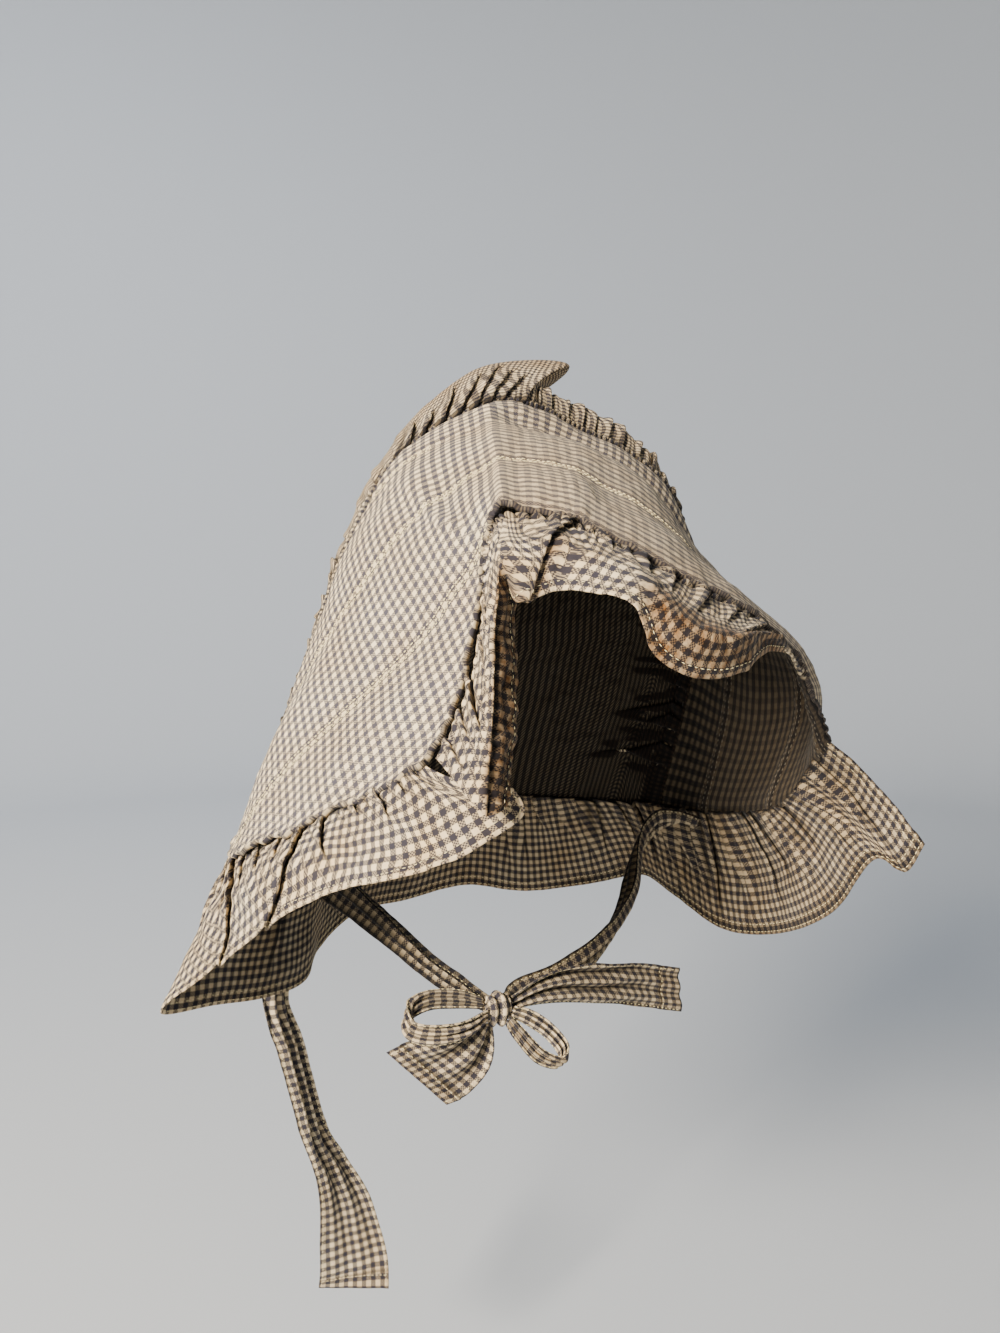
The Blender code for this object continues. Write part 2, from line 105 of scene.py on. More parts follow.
# Yarn-dyed cotton gingham, plain woven, washed soft and creased: matt, with cream, mixed and slate checks.
def ginghamCotton(name, slate, warmth, relief, paintedShade=0.0):
    material, tree, shader = newMaterial(name, 0.88)
    shader.inputs["IOR"].default_value = 1.45
    shader.inputs["Specular IOR Level"].default_value = 0.2
    shader.inputs["Sheen Weight"].default_value = 0.05
    uv = addNode(tree, "ShaderNodeUVMap", {"uv_map": "weave"})
    drift = addNode(tree, "ShaderNodeTexNoise", {"Scale": 0.035, "Detail": 1.0}, {"Vector": uv})
    drifted = addNode(tree, "ShaderNodeVectorMath", {"operation": "MULTIPLY_ADD", 1: (1.2, 1.2, 0.0)},
                      {0: drift.outputs["Color"], 2: uv})
    axes = addNode(tree, "ShaderNodeSeparateXYZ", {}, {0: drifted})
    stripes = []
    half = cloth["repeat"] / 2
    for axis in (0, 1):
        wave = addNode(tree, "ShaderNodeMath", {"operation": "PINGPONG", 1: half}, {0: axes.outputs[axis]})
        stripes.append(addNode(tree, "ShaderNodeMapRange", {
            "interpolation_type": "SMOOTHSTEP",
            "From Min": half / 2 - cloth["edge"], "From Max": half / 2 + cloth["edge"],
        }, {"Value": wave}))
    # Where the other stripes crowd these ones out, they fade.
    fadeMark = addNode(tree, "ShaderNodeAttribute", {"attribute_name": "fade"})
    stripes[1] = addNode(tree, "ShaderNodeMix", {"data_type": "FLOAT", 3: 0.45},
                         {0: fadeMark.outputs["Fac"], 2: stripes[1]})
    both = addNode(tree, "ShaderNodeMath", {"operation": "MULTIPLY"}, {0: stripes[0], 1: stripes[1]})
    either = addNode(tree, "ShaderNodeMath", {"operation": "MAXIMUM"}, {0: stripes[0], 1: stripes[1]})
    yarns = addNode(tree, "ShaderNodeTexChecker", {
        "Scale": 1.0 / cloth["thread"], "Color1": (1, 1, 1, 1), "Color2": (0, 0, 0, 1),
    }, {"Vector": drifted})
    tone = addNode(tree, "ShaderNodeMapRange", {
        "To Min": cloth["halfTone"] - cloth["threadShow"], "To Max": cloth["halfTone"] + cloth["threadShow"],
    }, {"Value": yarns.outputs["Fac"]})
    dark = addNode(tree, "ShaderNodeMix", {"data_type": "FLOAT", 3: 1.0}, {0: both, 2: tone})
    shown = addNode(tree, "ShaderNodeMath", {"operation": "MULTIPLY"}, {0: dark, 1: either})
    worn = addNode(tree, "ShaderNodeMix", {
        "data_type": "RGBA", 6: linear(cloth["cream"]), 7: linear(slate),
    }, {0: shown}).outputs[2]
    # Wear and painted shade: uneven washing, a warm tan cast in patches, brown stains and grime where the piece says
    # so; the stain and grime marks also carry painted shade in folds, gaps and shadowed parts.
    washing = addNode(tree, "ShaderNodeTexNoise", {"Scale": 0.03, "Detail": 6.0, "Roughness": 0.62}, {"Vector": uv})
    washAmount = addNode(tree, "ShaderNodeMapRange", {
        "From Min": 0.35, "From Max": 0.7, "To Min": 0.1, "To Max": 0.1 + warmth,
    }, {"Value": washing.outputs["Fac"]})
    stainAndShadeMark = addNode(tree, "ShaderNodeAttribute", {"attribute_name": "stainAndShade"})
    blotch = addNode(tree, "ShaderNodeTexNoise", {"Scale": 0.16, "Detail": 6.0, "Roughness": 0.65}, {"Vector": uv})
    blotchAmount = addNode(tree, "ShaderNodeMapRange", {
        "From Min": 0.3, "From Max": 0.65, "To Min": 0.35, "To Max": 1.0,
    }, {"Value": blotch.outputs["Fac"]})
    stainAndShadeAmount = addNode(tree, "ShaderNodeMath", {"operation": "MULTIPLY", "use_clamp": True},
                          {0: stainAndShadeMark.outputs["Fac"], 1: blotchAmount})
    # The grime mark, grime and painted shade, gets the material's own painted shade added.
    grimeAndShadeMark = addNode(tree, "ShaderNodeAttribute", {"attribute_name": "grimeAndShade"})
    grimeAndShadeAmount = addNode(tree, "ShaderNodeMath", {"operation": "ADD", "use_clamp": True, 1: paintedShade},
                          {0: grimeAndShadeMark.outputs["Fac"]})
    for amount, colour in ((washAmount, "warm"), (stainAndShadeAmount, "brown"), (grimeAndShadeAmount, "grimeAndShade")):
        worn = addNode(tree, "ShaderNodeMix", {
            "data_type": "RGBA", "blend_type": "MULTIPLY", 7: linear(cloth[colour]),
        }, {0: amount, 6: worn}).outputs[2]
    tree.links.new(worn, shader.inputs["Base Color"])
    # Relief: the yarns, and the fine crumple of old cotton.
    crumple = addNode(tree, "ShaderNodeTexNoise", {
        "Scale": 0.3, "Detail": 5.0, "Roughness": 0.6, "Distortion": 0.8,
    }, {"Vector": uv})
    height = addNode(tree, "ShaderNodeMath", {"operation": "MULTIPLY_ADD", 1: 0.1},
                     {0: yarns.outputs["Fac"], 2: crumple.outputs["Fac"]})
    bump = addNode(tree, "ShaderNodeBump", {"Strength": relief, "Distance": 0.0014}, {"Height": height})
    tree.links.new(bump.outputs[0], shader.inputs["Normal"])
    return material


# Cotton sewing thread, three-ply and waxed: matt and a little yellow, or a dark bead of painted shade for the needle
# holes.
def sewingThread(name, colour):
    material, tree, shader = newMaterial(name, 0.8)
    place = addNode(tree, "ShaderNodeTexCoord")
    ply = addNode(tree, "ShaderNodeTexNoise", {"Scale": 900.0, "Detail": 2.0}, {"Vector": place.outputs["Object"]})
    tone = addNode(tree, "ShaderNodeMapRange", {"To Min": 0.75, "To Max": 1.1}, {"Value": ply.outputs["Fac"]})
    shade = addNode(tree, "ShaderNodeMix", {
        "data_type": "RGBA", "blend_type": "MULTIPLY", 0: 1.0, 6: linear(colour),
    }, {7: tone})
    tree.links.new(shade.outputs[2], shader.inputs["Base Color"])
    return material


materials = {
    "quilted": ginghamCotton("quilted cotton gingham, sun-worn", cloth["worn"], 0.3, 0.35),
    # the lining: the cloth darkened with painted shade inside the bonnet
    "lining": ginghamCotton("cotton gingham lining, painted shade", cloth["slate"], 0.3, 0.35, 0.9),
    "gathered": ginghamCotton("gathered cotton gingham, creased", cloth["slate"], 0.45, 0.5),
    "tie": ginghamCotton("hemmed cotton gingham tie", cloth["slate"], 0.3, 0.45),
    "thread": sewingThread("waxed cotton thread", cloth["stitch"]),
    # dark beads of painted shade in the needle holes
    "hole": sewingThread("painted shade in a needle hole", cloth["hole"]),
    # the quilting thread on the lining, darker: painted shade
    "innerThread": sewingThread("cotton thread on the lining, painted shade", cloth["innerStitch"]),
}
print("materials made:", len(materials))


# Shapes

def even(count):
    return np.linspace(0.0, 1.0, count)


def unit(vectors):
    vectors = np.asarray(vectors, float)
    return vectors / np.maximum(np.linalg.norm(vectors, axis=-1, keepdims=True), 1e-9)


def bell(value, middle, spread):
    return np.exp(-(((value - middle) / spread) ** 2))


def ramp(value, low, high):
    t = np.clip((value - low) / (high - low), 0.0, 1.0)
    return t * t * (3 - 2 * t)


def through(points, shares, places=None):  # a smooth curve through the rows, read at each share
    points = np.asarray(points, float)
    places = even(len(points)) if places is None else np.asarray(places, float)
    shares = np.atleast_1d(np.asarray(shares, float))
    flatPoints = points.reshape(len(points), -1)
    low = np.maximum(np.arange(len(points)) - 1, 0)
    high = np.minimum(np.arange(len(points)) + 1, len(points) - 1)
    slopes = (flatPoints[high] - flatPoints[low]) / (places[high] - places[low])[:, None]
    k = np.clip(np.searchsorted(places, shares, side="right") - 1, 0, len(points) - 2)
    span = (places[k + 1] - places[k])[:, None]
    t = (shares - places[k])[:, None] / span
    found = ((2 * t**3 - 3 * t**2 + 1) * flatPoints[k] + (t**3 - 2 * t**2 + t) * span * slopes[k]
             + (3 * t**2 - 2 * t**3) * flatPoints[k + 1] + (t**3 - t**2) * span * slopes[k + 1])
    return found.reshape(len(shares), *points.shape[1:])


def outwardOf(grid):
    return unit(np.cross(np.gradient(grid, axis=1), np.gradient(grid, axis=0)))


def lengthsAlong(line):
    return np.concatenate([[0.0], np.cumsum(np.linalg.norm(np.diff(line, axis=0), axis=1))])


def noiseField(first, second, size, seed, depth=1):
    values = np.empty(first.shape)
    flatFirst, flatSecond, flatValues = first.ravel() / size, second.ravel() / size, values.ravel()
    for i in range(len(flatFirst)):
        flatValues[i] = noise.fractal(Vector((flatFirst[i], flatSecond[i], seed)), 1.0, 2.0, depth)
    return flatValues.reshape(first.shape)


def ruck(phase):  # round ridges with tight valleys, from -1 to 1
    return 2 * np.abs(np.cos(phase)) - 1


def crumpled(first, second, rows):  # a row: height and size in mm, seed
    return sum(height * noiseField(first, second, size, seed, 2) for height, size, seed in rows)


# Gathers; a row of wander or uneven: amount, size in mm, seed, depth.
def gatherWave(along, fallen, turns, wander, uneven):
    wandering = wander[0] * noiseField(along, fallen, *wander[1:])
    varying = 1 + uneven[0] * noiseField(along, fallen, *uneven[1:])
    return varying * ruck(math.pi * turns + wandering)


# Random rows for foldOver; the ranges are those of overlap, half width, height, reach, slant and step.
def smallPleats(place, stop, ranges):
    while place < stop:
        overlap, width = (random.uniform(*pair) for pair in ranges[:2])
        height = random.choice((-1, 1)) * random.uniform(*ranges[2])
        reach, slant, step = (random.uniform(*pair) for pair in ranges[3:])
        yield place, overlap, width, height, reach, slant
        place += step


def summed(steps):  # running totals along each row, from 0
    return np.concatenate([np.zeros((len(steps), 1)), np.cumsum(steps, axis=1)], axis=1)


def smoothed(grid, size):
    pad = np.pad(grid, ((size, size), (0, 0), (0, 0)), mode="edge")
    return sum(pad[k:k + len(grid)] for k in range(2 * size + 1)) / (2 * size + 1)


# Lays Z-folds in a sheet; a row: place, overlap, half width and height in mm, reach, slant.
def foldOver(grid, outward, down, folds):
    length = lengthsAlong(grid[:, 0])
    folded, hidden = grid.copy(), np.zeros(grid.shape[:2])
    for j, share in enumerate(down):
        shift, lift = np.zeros(len(grid)), np.zeros(len(grid))
        for place, overlap, width, height, reach, slant in folds:
            t = (length - place - slant * share) / width
            kept = 1 - ramp(share, 0.35 * reach, reach)
            turn = t * np.exp(0.5 - t * t) * math.sqrt(2) * kept
            shift += overlap * turn
            lift += height * turn
            hidden[:, j] = np.maximum(hidden[:, j], bell(t, 0.0, 0.6) * kept * ramp(overlap / width, 0.5, 1.4))
        moved = length - shift
        for axis in range(3):
            folded[:, j, axis] = np.interp(moved, length, grid[:, j, axis]) - lift * np.interp(
                moved, length, outward[:, j, axis])
    return folded, hidden


# Lays a sheet flat: its columns at their places along one row, sheared as the sheet is.
def clothMap(grid, row, gathered):
    steps = np.diff(grid, axis=1)
    onward = unit(np.gradient(grid, axis=0))
    onward = (onward[:, 1:] + onward[:, :-1]) / 2
    shear = (steps * onward).sum(axis=-1)
    sheared = summed(shear)
    fallen = summed(np.sqrt(np.maximum((steps ** 2).sum(axis=-1) - shear ** 2, 1e-6)))
    along = gathered * lengthsAlong(grid[:, row])
    return np.stack([along[:, None] + sheared - sheared[:, [row]], fallen - fallen[:, [row]]], axis=-1)


def crevice(grid, side=1):  # how deep each point lies below its neighbours along the sheet, from 0 to 1
    fullDepth = 0.9  # mm
    return np.clip(((smoothed(grid, 4) - grid) * outwardOf(grid) * side).sum(axis=-1) / fullDepth, 0, 1)


def makeSheet(name, grid, flatMap, material, marks=None, thickness=0.6, closed=False, inside=None):
    columns, rows = grid.shape[:2]
    index = np.arange(columns * rows).reshape(columns, rows)
    faces = np.stack([index[:-1, :-1], index[:-1, 1:], index[1:, 1:], index[1:, :-1]], axis=-1).reshape(-1, 4)
    mesh = bpy.data.meshes.new(name)
    mesh.from_pydata((grid.reshape(-1, 3) * mm).tolist(), [], faces.tolist())
    mesh.update()
    uv = mesh.uv_layers.new(name="weave")
    uv.data.foreach_set("uv", flatMap.reshape(-1, 2)[faces.ravel()].astype(np.float32).ravel())
    for mark in ("stainAndShade", "grimeAndShade", "fade"):
        values = (marks or {}).get(mark, np.zeros((columns, rows)))
        attribute = mesh.attributes.new(mark, "FLOAT", "POINT")
        attribute.data.foreach_set("value", np.clip(values, 0, 1).astype(np.float32).ravel())
    if closed:
        sheet = bmesh.new()
        sheet.from_mesh(mesh)
        bmesh.ops.remove_doubles(sheet, verts=sheet.verts, dist=0.00001)
        sheet.to_mesh(mesh)
        sheet.free()
    piece = addObject(name, mesh)
    mesh.materials.append(material)
    mesh.shade_smooth()
    wall = piece.modifiers.new("wall", "SOLIDIFY")
    wall.thickness = thickness * mm
    wall.offset = 0.0
    wall.use_quality_normals = True
    if inside:
        mesh.materials.append(inside)
        wall.material_offset = 1
    return piece


# Stitching: one tree lays a thread bead, or a dark bead of painted shade for a needle hole, at every step of a sewn
# line.
def stitchTree():
    tree = bpy.data.node_groups.new("sewn line", "GeometryNodeTree")
    tree.interface.new_socket("Geometry", in_out="INPUT", socket_type="NodeSocketGeometry")
    for socket in ("Step", "Length", "Width", "Height"):
        tree.interface.new_socket(socket, in_out="INPUT", socket_type="NodeSocketFloat")
    tree.interface.new_socket("Seed", in_out="INPUT", socket_type="NodeSocketInt")
    tree.interface.new_socket("Thread", in_out="INPUT", socket_type="NodeSocketMaterial")
    tree.interface.new_socket("Geometry", in_out="OUTPUT", socket_type="NodeSocketGeometry")
    given = addNode(tree, "NodeGroupInput").outputs
    line = addNode(tree, "GeometryNodeMeshToCurve", {}, {"Mesh": given["Geometry"]})
    steps = addNode(tree, "GeometryNodeResampleCurve", {"mode": "LENGTH"}, {"Curve": line, "Length": given["Step"]})
    tangent = addNode(tree, "GeometryNodeInputTangent")
    outward = addNode(tree, "GeometryNodeInputNamedAttribute", {"data_type": "FLOAT_VECTOR", "Name": "outward"})
    lengthwise = addNode(tree, "FunctionNodeAlignRotationToVector", {"axis": "X"}, {"Vector": tangent})
    upright = addNode(tree, "FunctionNodeAlignRotationToVector", {"axis": "Z", "pivot_axis": "X"},
                      {"Rotation": lengthwise, "Vector": outward})
    bead = addNode(tree, "GeometryNodeMeshIcoSphere", {"Radius": 0.5, "Subdivisions": 1})
    vary = addNode(tree, "FunctionNodeRandomValue", {"data_type": "FLOAT", 2: 0.75, 3: 1.15}, {"Seed": given["Seed"]})
    longer = addNode(tree, "ShaderNodeMath", {"operation": "MULTIPLY"}, {0: given["Length"], 1: vary.outputs[1]})
    size = addNode(tree, "ShaderNodeCombineXYZ", {}, {0: longer, 1: given["Width"], 2: given["Height"]})
    beads = addNode(tree, "GeometryNodeInstanceOnPoints", {}, {
        "Points": steps, "Instance": bead, "Rotation": upright, "Scale": size,
    })
    real = addNode(tree, "GeometryNodeRealizeInstances", {}, {0: beads})
    smooth = addNode(tree, "GeometryNodeSetShadeSmooth", {}, {0: real})
    dressed = addNode(tree, "GeometryNodeSetMaterial", {}, {"Geometry": smooth, "Material": given["Thread"]})
    addNode(tree, "NodeGroupOutput", {}, {0: dressed})
    return tree


sewnLine = stitchTree()
sewing = {  # mm; kinds without a material of their own take the plain thread
    "hem": {"Step": 2.6, "Length": 1.82, "Width": 0.34, "Height": 0.26},
    "tieHem": {"Step": 2.4, "Length": 1.6, "Width": 0.36, "Height": 0.26},
    "thread": {"Step": 2.4, "Length": 2.2, "Width": 0.75, "Height": 0.4},
    "hole": {"Step": 5.2, "Length": 0.8, "Width": 0.45, "Height": 0.35},
    "innerThread": {"Step": 3.4, "Length": 2.2, "Width": 0.5, "Height": 0.3},
}


def sewLines(name, lines, kind):  # lines: pairs of points and outward ways, in mm
    points, edges, ways = [], [], []
    for line, outward in lines:
        edges += [(len(points) + i, len(points) + i + 1) for i in range(len(line) - 1)]
        points += (np.asarray(line) * mm).tolist()
        ways += np.asarray(outward).tolist()
    path = bpy.data.meshes.new(name)
    path.from_pydata(points, edges, [])
    attribute = path.attributes.new("outward", "FLOAT_VECTOR", "POINT")
    attribute.data.foreach_set("vector", np.array(ways, np.float32).ravel())
    guide = addObject(name + "Guide", path)
    modifier = guide.modifiers.new("sewn", "NODES")
    modifier.node_group = sewnLine
    values = {size: value * mm for size, value in sewing[kind].items()}
    values.update(Seed=5, Thread=materials.get(kind, materials["thread"]))
    for item in sewnLine.interface.items_tree:
        if item.in_out == "INPUT" and item.name in values:
            modifier[item.identifier] = values[item.name]
    sewn = bpy.data.meshes.new_from_object(guide.evaluated_get(bpy.context.evaluated_depsgraph_get()))
    bpy.data.objects.remove(guide, do_unlink=True)
    return addObject(name, sewn)


# Brim

brim = {
    # a rib a row, from the right lower edge over the ridge to the left: at the crown seam, 1/3, 2/3, front edge
    "ribs": [
        [(-137, 42, -166), (-143, -2, -162), (-120, -60, -136), (-88, -119, -104)],
        [(-117, 45, -118), (-122, 2, -114), (-99, -58, -97), (-71, -110, -78)],
        [(-97, 42, -66), (-98, 2, -66), (-78, -52, -60), (-60, -101, -50)],
        [(-77, 36, -12), (-74, -4, -9), (-65, -54, -16), (-57, -99, -26)],
        [(-50, 34, 34), (-53, -4, 22), (-58, -54, -2), (-55, -99, -15)],
        [(-3, 27, 62), (-18, -17, 39), (-33, -60, 16), (-50, -104, -6)],
        [(23, 24, 61), (5, -24, 38), (-14, -72, 15), (-33, -119, -9)],
        [(48, 20, 50), (26, -30, 32), (3, -82, 8), (-21, -130, -15)],
        [(76, 15, 38), (54, -38, 16), (31, -94, -10), (6, -145, -33)],
        [(102, 8, 12), (80, -42, -14), (59, -96, -32), (37, -146, -46)],
        [(118, 8, -40), (114, -40, -54), (102, -92, -62), (70, -134, -65)],
        [(119, 18, -92), (123, -34, -104), (120, -88, -94), (87, -126, -85)],
        [(109, 36, -166), (126, -8, -164), (118, -70, -146), (105, -118, -106)],
    ],
    "creases": [  # place round, spread, place forward, spread, depth
        (0.345, 0.022, 0.62, 0.30, -2.4),
        (0.285, 0.020, 0.40, 0.28, -1.6),
        (0.440, 0.018, 0.85, 0.16, -1.2),
        (0.600, 0.030, 0.70, 0.25, -1.5),
    ],
    "thickness": 2.4,
    "columns": 320,
    "rows": 130,
    "length": 155.0,  # mm from the crown seam to the front edge
    "girth": 560.0,
    "grainPlace": (0.22, 0.45),  # where the way of the warp is known
    "grainWay": (0.47, -0.56, 0.70),
    "ridge": 0.415,
    "weftCrowding": (1.08, 1.15),  # how the quilting draws the weft up, on the flat and along the ridge
    "quiltRows": (40.0, 105.0, 170.0),  # mm of cloth in front of the crown seam
    "quiltLines": (-2.5, 0.0, 2.5),
    "quiltDip": 1.0,
    "quiltGroove": 3.2,  # half the width of the dip along a row
    "quiltPuff": 0.9,
    "rowsWorn": 0.86,  # where the outer rows end, as a share of the way to the ridge
    "crumple": [(0.7, 24.0, 3.0), (0.35, 8.0, 9.0)],  # height and size in mm, seed
    "ridgeHeight": 4.0,  # how sharply the fold along the top stands up
    "ridgeWidth": 9.0,
    "seamCurl": (0.16, 0.08, 4.2),  # the top's dip behind the crown seam: where, how wide, how deep
    "lip": 1.5,  # how far the puckered edges stand up
    "lipWidth": 3.6,
    "pucker": 4.5,
}


def brimPoints(around, forward):
    ribs = through(brim["ribs"], around)
    return through(ribs.swapaxes(0, 1), forward).swapaxes(0, 1)


def flatten(grid):  # unrolls the sheet, to real size, and turns the map so that its second axis is the warp
    piece = makeSheet("flatBrim", grid, np.zeros((*grid.shape[:2], 2)), materials["quilted"])
    bpy.context.view_layer.objects.active = piece
    piece.select_set(True)
    bpy.ops.object.mode_set(mode="EDIT")
    bpy.ops.mesh.select_all(action="SELECT")
    bpy.ops.uv.unwrap(method="ANGLE_BASED", margin=0.0)
    bpy.ops.object.mode_set(mode="OBJECT")
    mesh = piece.data
    uv = np.empty(len(mesh.loops) * 2, np.float32)
    mesh.uv_layers["weave"].data.foreach_get("uv", uv)
    corner = np.empty(len(mesh.loops), np.int32)
    mesh.loops.foreach_get("vertex_index", corner)
    flatMap = np.zeros((len(mesh.vertices), 2))
    flatMap[corner] = uv.reshape(-1, 2)
    flatMap = flatMap.reshape(grid.shape[0], grid.shape[1], 2)
    bpy.data.objects.remove(piece, do_unlink=True)
    real = sum(np.linalg.norm(np.diff(grid, axis=axis), axis=2).sum() for axis in (0, 1))
    mapped = sum(np.linalg.norm(np.diff(flatMap, axis=axis), axis=2).sum() for axis in (0, 1))
    flatMap *= real / mapped
    i, j = (int(share * (count - 1)) for share, count in zip(brim["grainPlace"], grid.shape))
    sides = np.stack([grid[i + 2, j] - grid[i - 2, j], grid[i, j + 2] - grid[i, j - 2]])
    mappedSides = np.stack([flatMap[i + 2, j] - flatMap[i - 2, j], flatMap[i, j + 2] - flatMap[i, j - 2]])
    mix = np.linalg.lstsq(sides.T, np.array(brim["grainWay"]), rcond=None)[0]
    warp = unit(mix @ mappedSides)
    turned = flatMap @ np.array([[warp[1], warp[0]], [-warp[0], warp[1]]])
    turned[..., 0] *= -np.sign(np.linalg.det(mappedSides))
    return turned - turned[int(brim["ridge"] * (grid.shape[0] - 1)), 0]


# The cloth runs flat from the right edge to the ridge, then in line with the left top's edges.
def weaveBrim(grid, around):
    flatMap = flatten(grid)
    ridge = int(round(brim["ridge"] * (len(around) - 1)))
    flat, crowded = brim["weftCrowding"]
    crowding = flat + (crowded - flat) * ramp(around, 0.27, 0.41)
    beyond = np.arange(len(around)) > ridge
    steps = np.linalg.norm(np.diff(grid, axis=0), axis=2).mean(axis=1)
    onward = np.concatenate([[0.0], np.cumsum(steps)])
    flatMap[beyond] = flatMap[ridge]
    flatMap[beyond, :, 1] += (onward[beyond] - onward[ridge])[:, None]
    flatMap[..., 0] *= crowding[:, None]
    return flatMap


def brimLift(a, f, weft):
    around, ahead = a * brim["girth"], f * brim["length"]
    rows = brim["quiltRows"]
    lift = 0.6 * np.sin(21.0 * a + 4.0 * f) * 4 * f * (1 - f)
    for place, spread, forward, reach, depth in brim["creases"]:
        lift += depth * bell(a, place, spread) * bell(f, forward, reach)
    for row in rows:
        lift -= brim["quiltDip"] * bell(weft, row, brim["quiltGroove"])
    lift -= brim["quiltPuff"] * np.cos(2 * math.pi * (weft - rows[1]) / (rows[2] - rows[1])) * ramp(f, 0.0, 0.1)
    place, spread, depth = brim["seamCurl"]
    lift -= depth * bell(f, place, spread) * ramp(a, 0.40, 0.45) * (1 - ramp(a, 0.78, 0.90))
    fromRidge = np.sqrt((a - brim["ridge"]) ** 2 * brim["girth"] ** 2 + 4)
    lift += brim["ridgeHeight"] * np.exp(-fromRidge / brim["ridgeWidth"]) * ramp(f, 0, 0.1)
    lift += crumpled(around, ahead, brim["crumple"])
    fromEdges = (brim["length"] - ahead, around, brim["girth"] - around)
    uneven = 1 + 0.9 * noiseField(around + ahead, around - ahead, 9.0, 5.0, 2)
    lift += brim["lip"] * sum(bell(away, 0.0, brim["lipWidth"]) for away in fromEdges) * uneven
    puckers = noiseField(around, ahead, 5.0, 15.0, 2)
    for row in rows:
        lift += 0.5 * puckers * bell(weft, row, 6.0)
    return lift


def makeBrim():
    around, forward = even(brim["columns"]), even(brim["rows"])
    base = brimPoints(around, forward)
    flatMap = weaveBrim(base, around)
    a, f = np.meshgrid(around, forward, indexing="ij")
    grid = base + brimLift(a, f, flatMap[..., 0])[..., None] * outwardOf(base)
    down = unit(base[0] - base[4])[None]  # the right lower edge is puckered by its seam
    wander = brim["pucker"] * noiseField(f * brim["length"], 0 * a, 11.0, 31.0, 2) * np.exp(-a * brim["girth"] / 7.0)
    grid = grid + wander[..., None] * down
    # Marks: stains along the ridge and the quilted rows; the top-left panel stained and darkened with painted shade;
    # darker along the lower right and front edges; the faded stripes.
    ridgeWear = 0.22 * bell(a, brim["ridge"], 0.03) * ramp(f, 0.1, 0.5)
    rowWear = sum(0.16 * bell(flatMap[..., 0], row, 9.0) for row in brim["quiltRows"])
    topStainAndShade = 0.32 * ramp(a, 0.415, 0.45)
    edge = np.exp(-(a * brim["girth"]) / 1.2) + np.exp(-((1 - f) * brim["length"]) / 1.0)
    marks = {
        "stainAndShade": ridgeWear + rowWear + topStainAndShade,
        "grimeAndShade": 0.5 * edge,
        "fade": 0.6 * ramp(a, 0.38, 0.43) * ramp(f, 0.12, 0.3),
    }
    piece = makeSheet("quiltedBrim", grid, flatMap, materials["quilted"], marks,
                      brim["thickness"], inside=materials["lining"])
    return piece, grid, flatMap


brimPiece, brimGrid, brimMap = makeBrim()
print("brim made, map spans", np.ptp(brimMap[..., 0]).round(), np.ptp(brimMap[..., 1]).round(), "mm")


# The line of one row of stitches, on the outer face for side 1 and the lining's for -1.
def quiltLine(weft, side, last):
    outward = outwardOf(brimGrid)
    line, ways = [], []
    for i in range(2, last):
        column = brimMap[i, :, 0]
        if column[2] < weft < column[-3]:
            j = np.interp(weft, column, np.arange(len(column)))
            low, t = int(j), j - int(j)
            way = unit(outward[i, low] * (1 - t) + outward[i, low + 1] * t)
            point = brimGrid[i, low] * (1 - t) + brimGrid[i, low + 1] * t
            line.append(point + side * way * (brim["thickness"] / 2 + 0.08))
            ways.append(way)
        elif line:
            yield line, ways
            line, ways = [], []
    if line:
        yield line, ways


def quiltStitches(kind, shift, side):
    lines = []
    for row in brim["quiltRows"]:
        whole = row == brim["quiltRows"][1] or side < 0
        last = len(brimGrid) - 2 if whole else int(brim["rowsWorn"] * brim["ridge"] * len(brimGrid))
        for offset in brim["quiltLines"]:
            lines += [found for found in quiltLine(row + offset + shift, side, last) if len(found[0]) > 12]
    return sewLines(f"quilting{kind[0].upper()}{kind[1:]}", lines, kind)


brimSewing = [
    quiltStitches("thread", 0.0, 1),
    quiltStitches("hole", 0.7, 1),
    quiltStitches("innerThread", 0.0, -1),
]
print("quilting sewn")


# Heading and crown

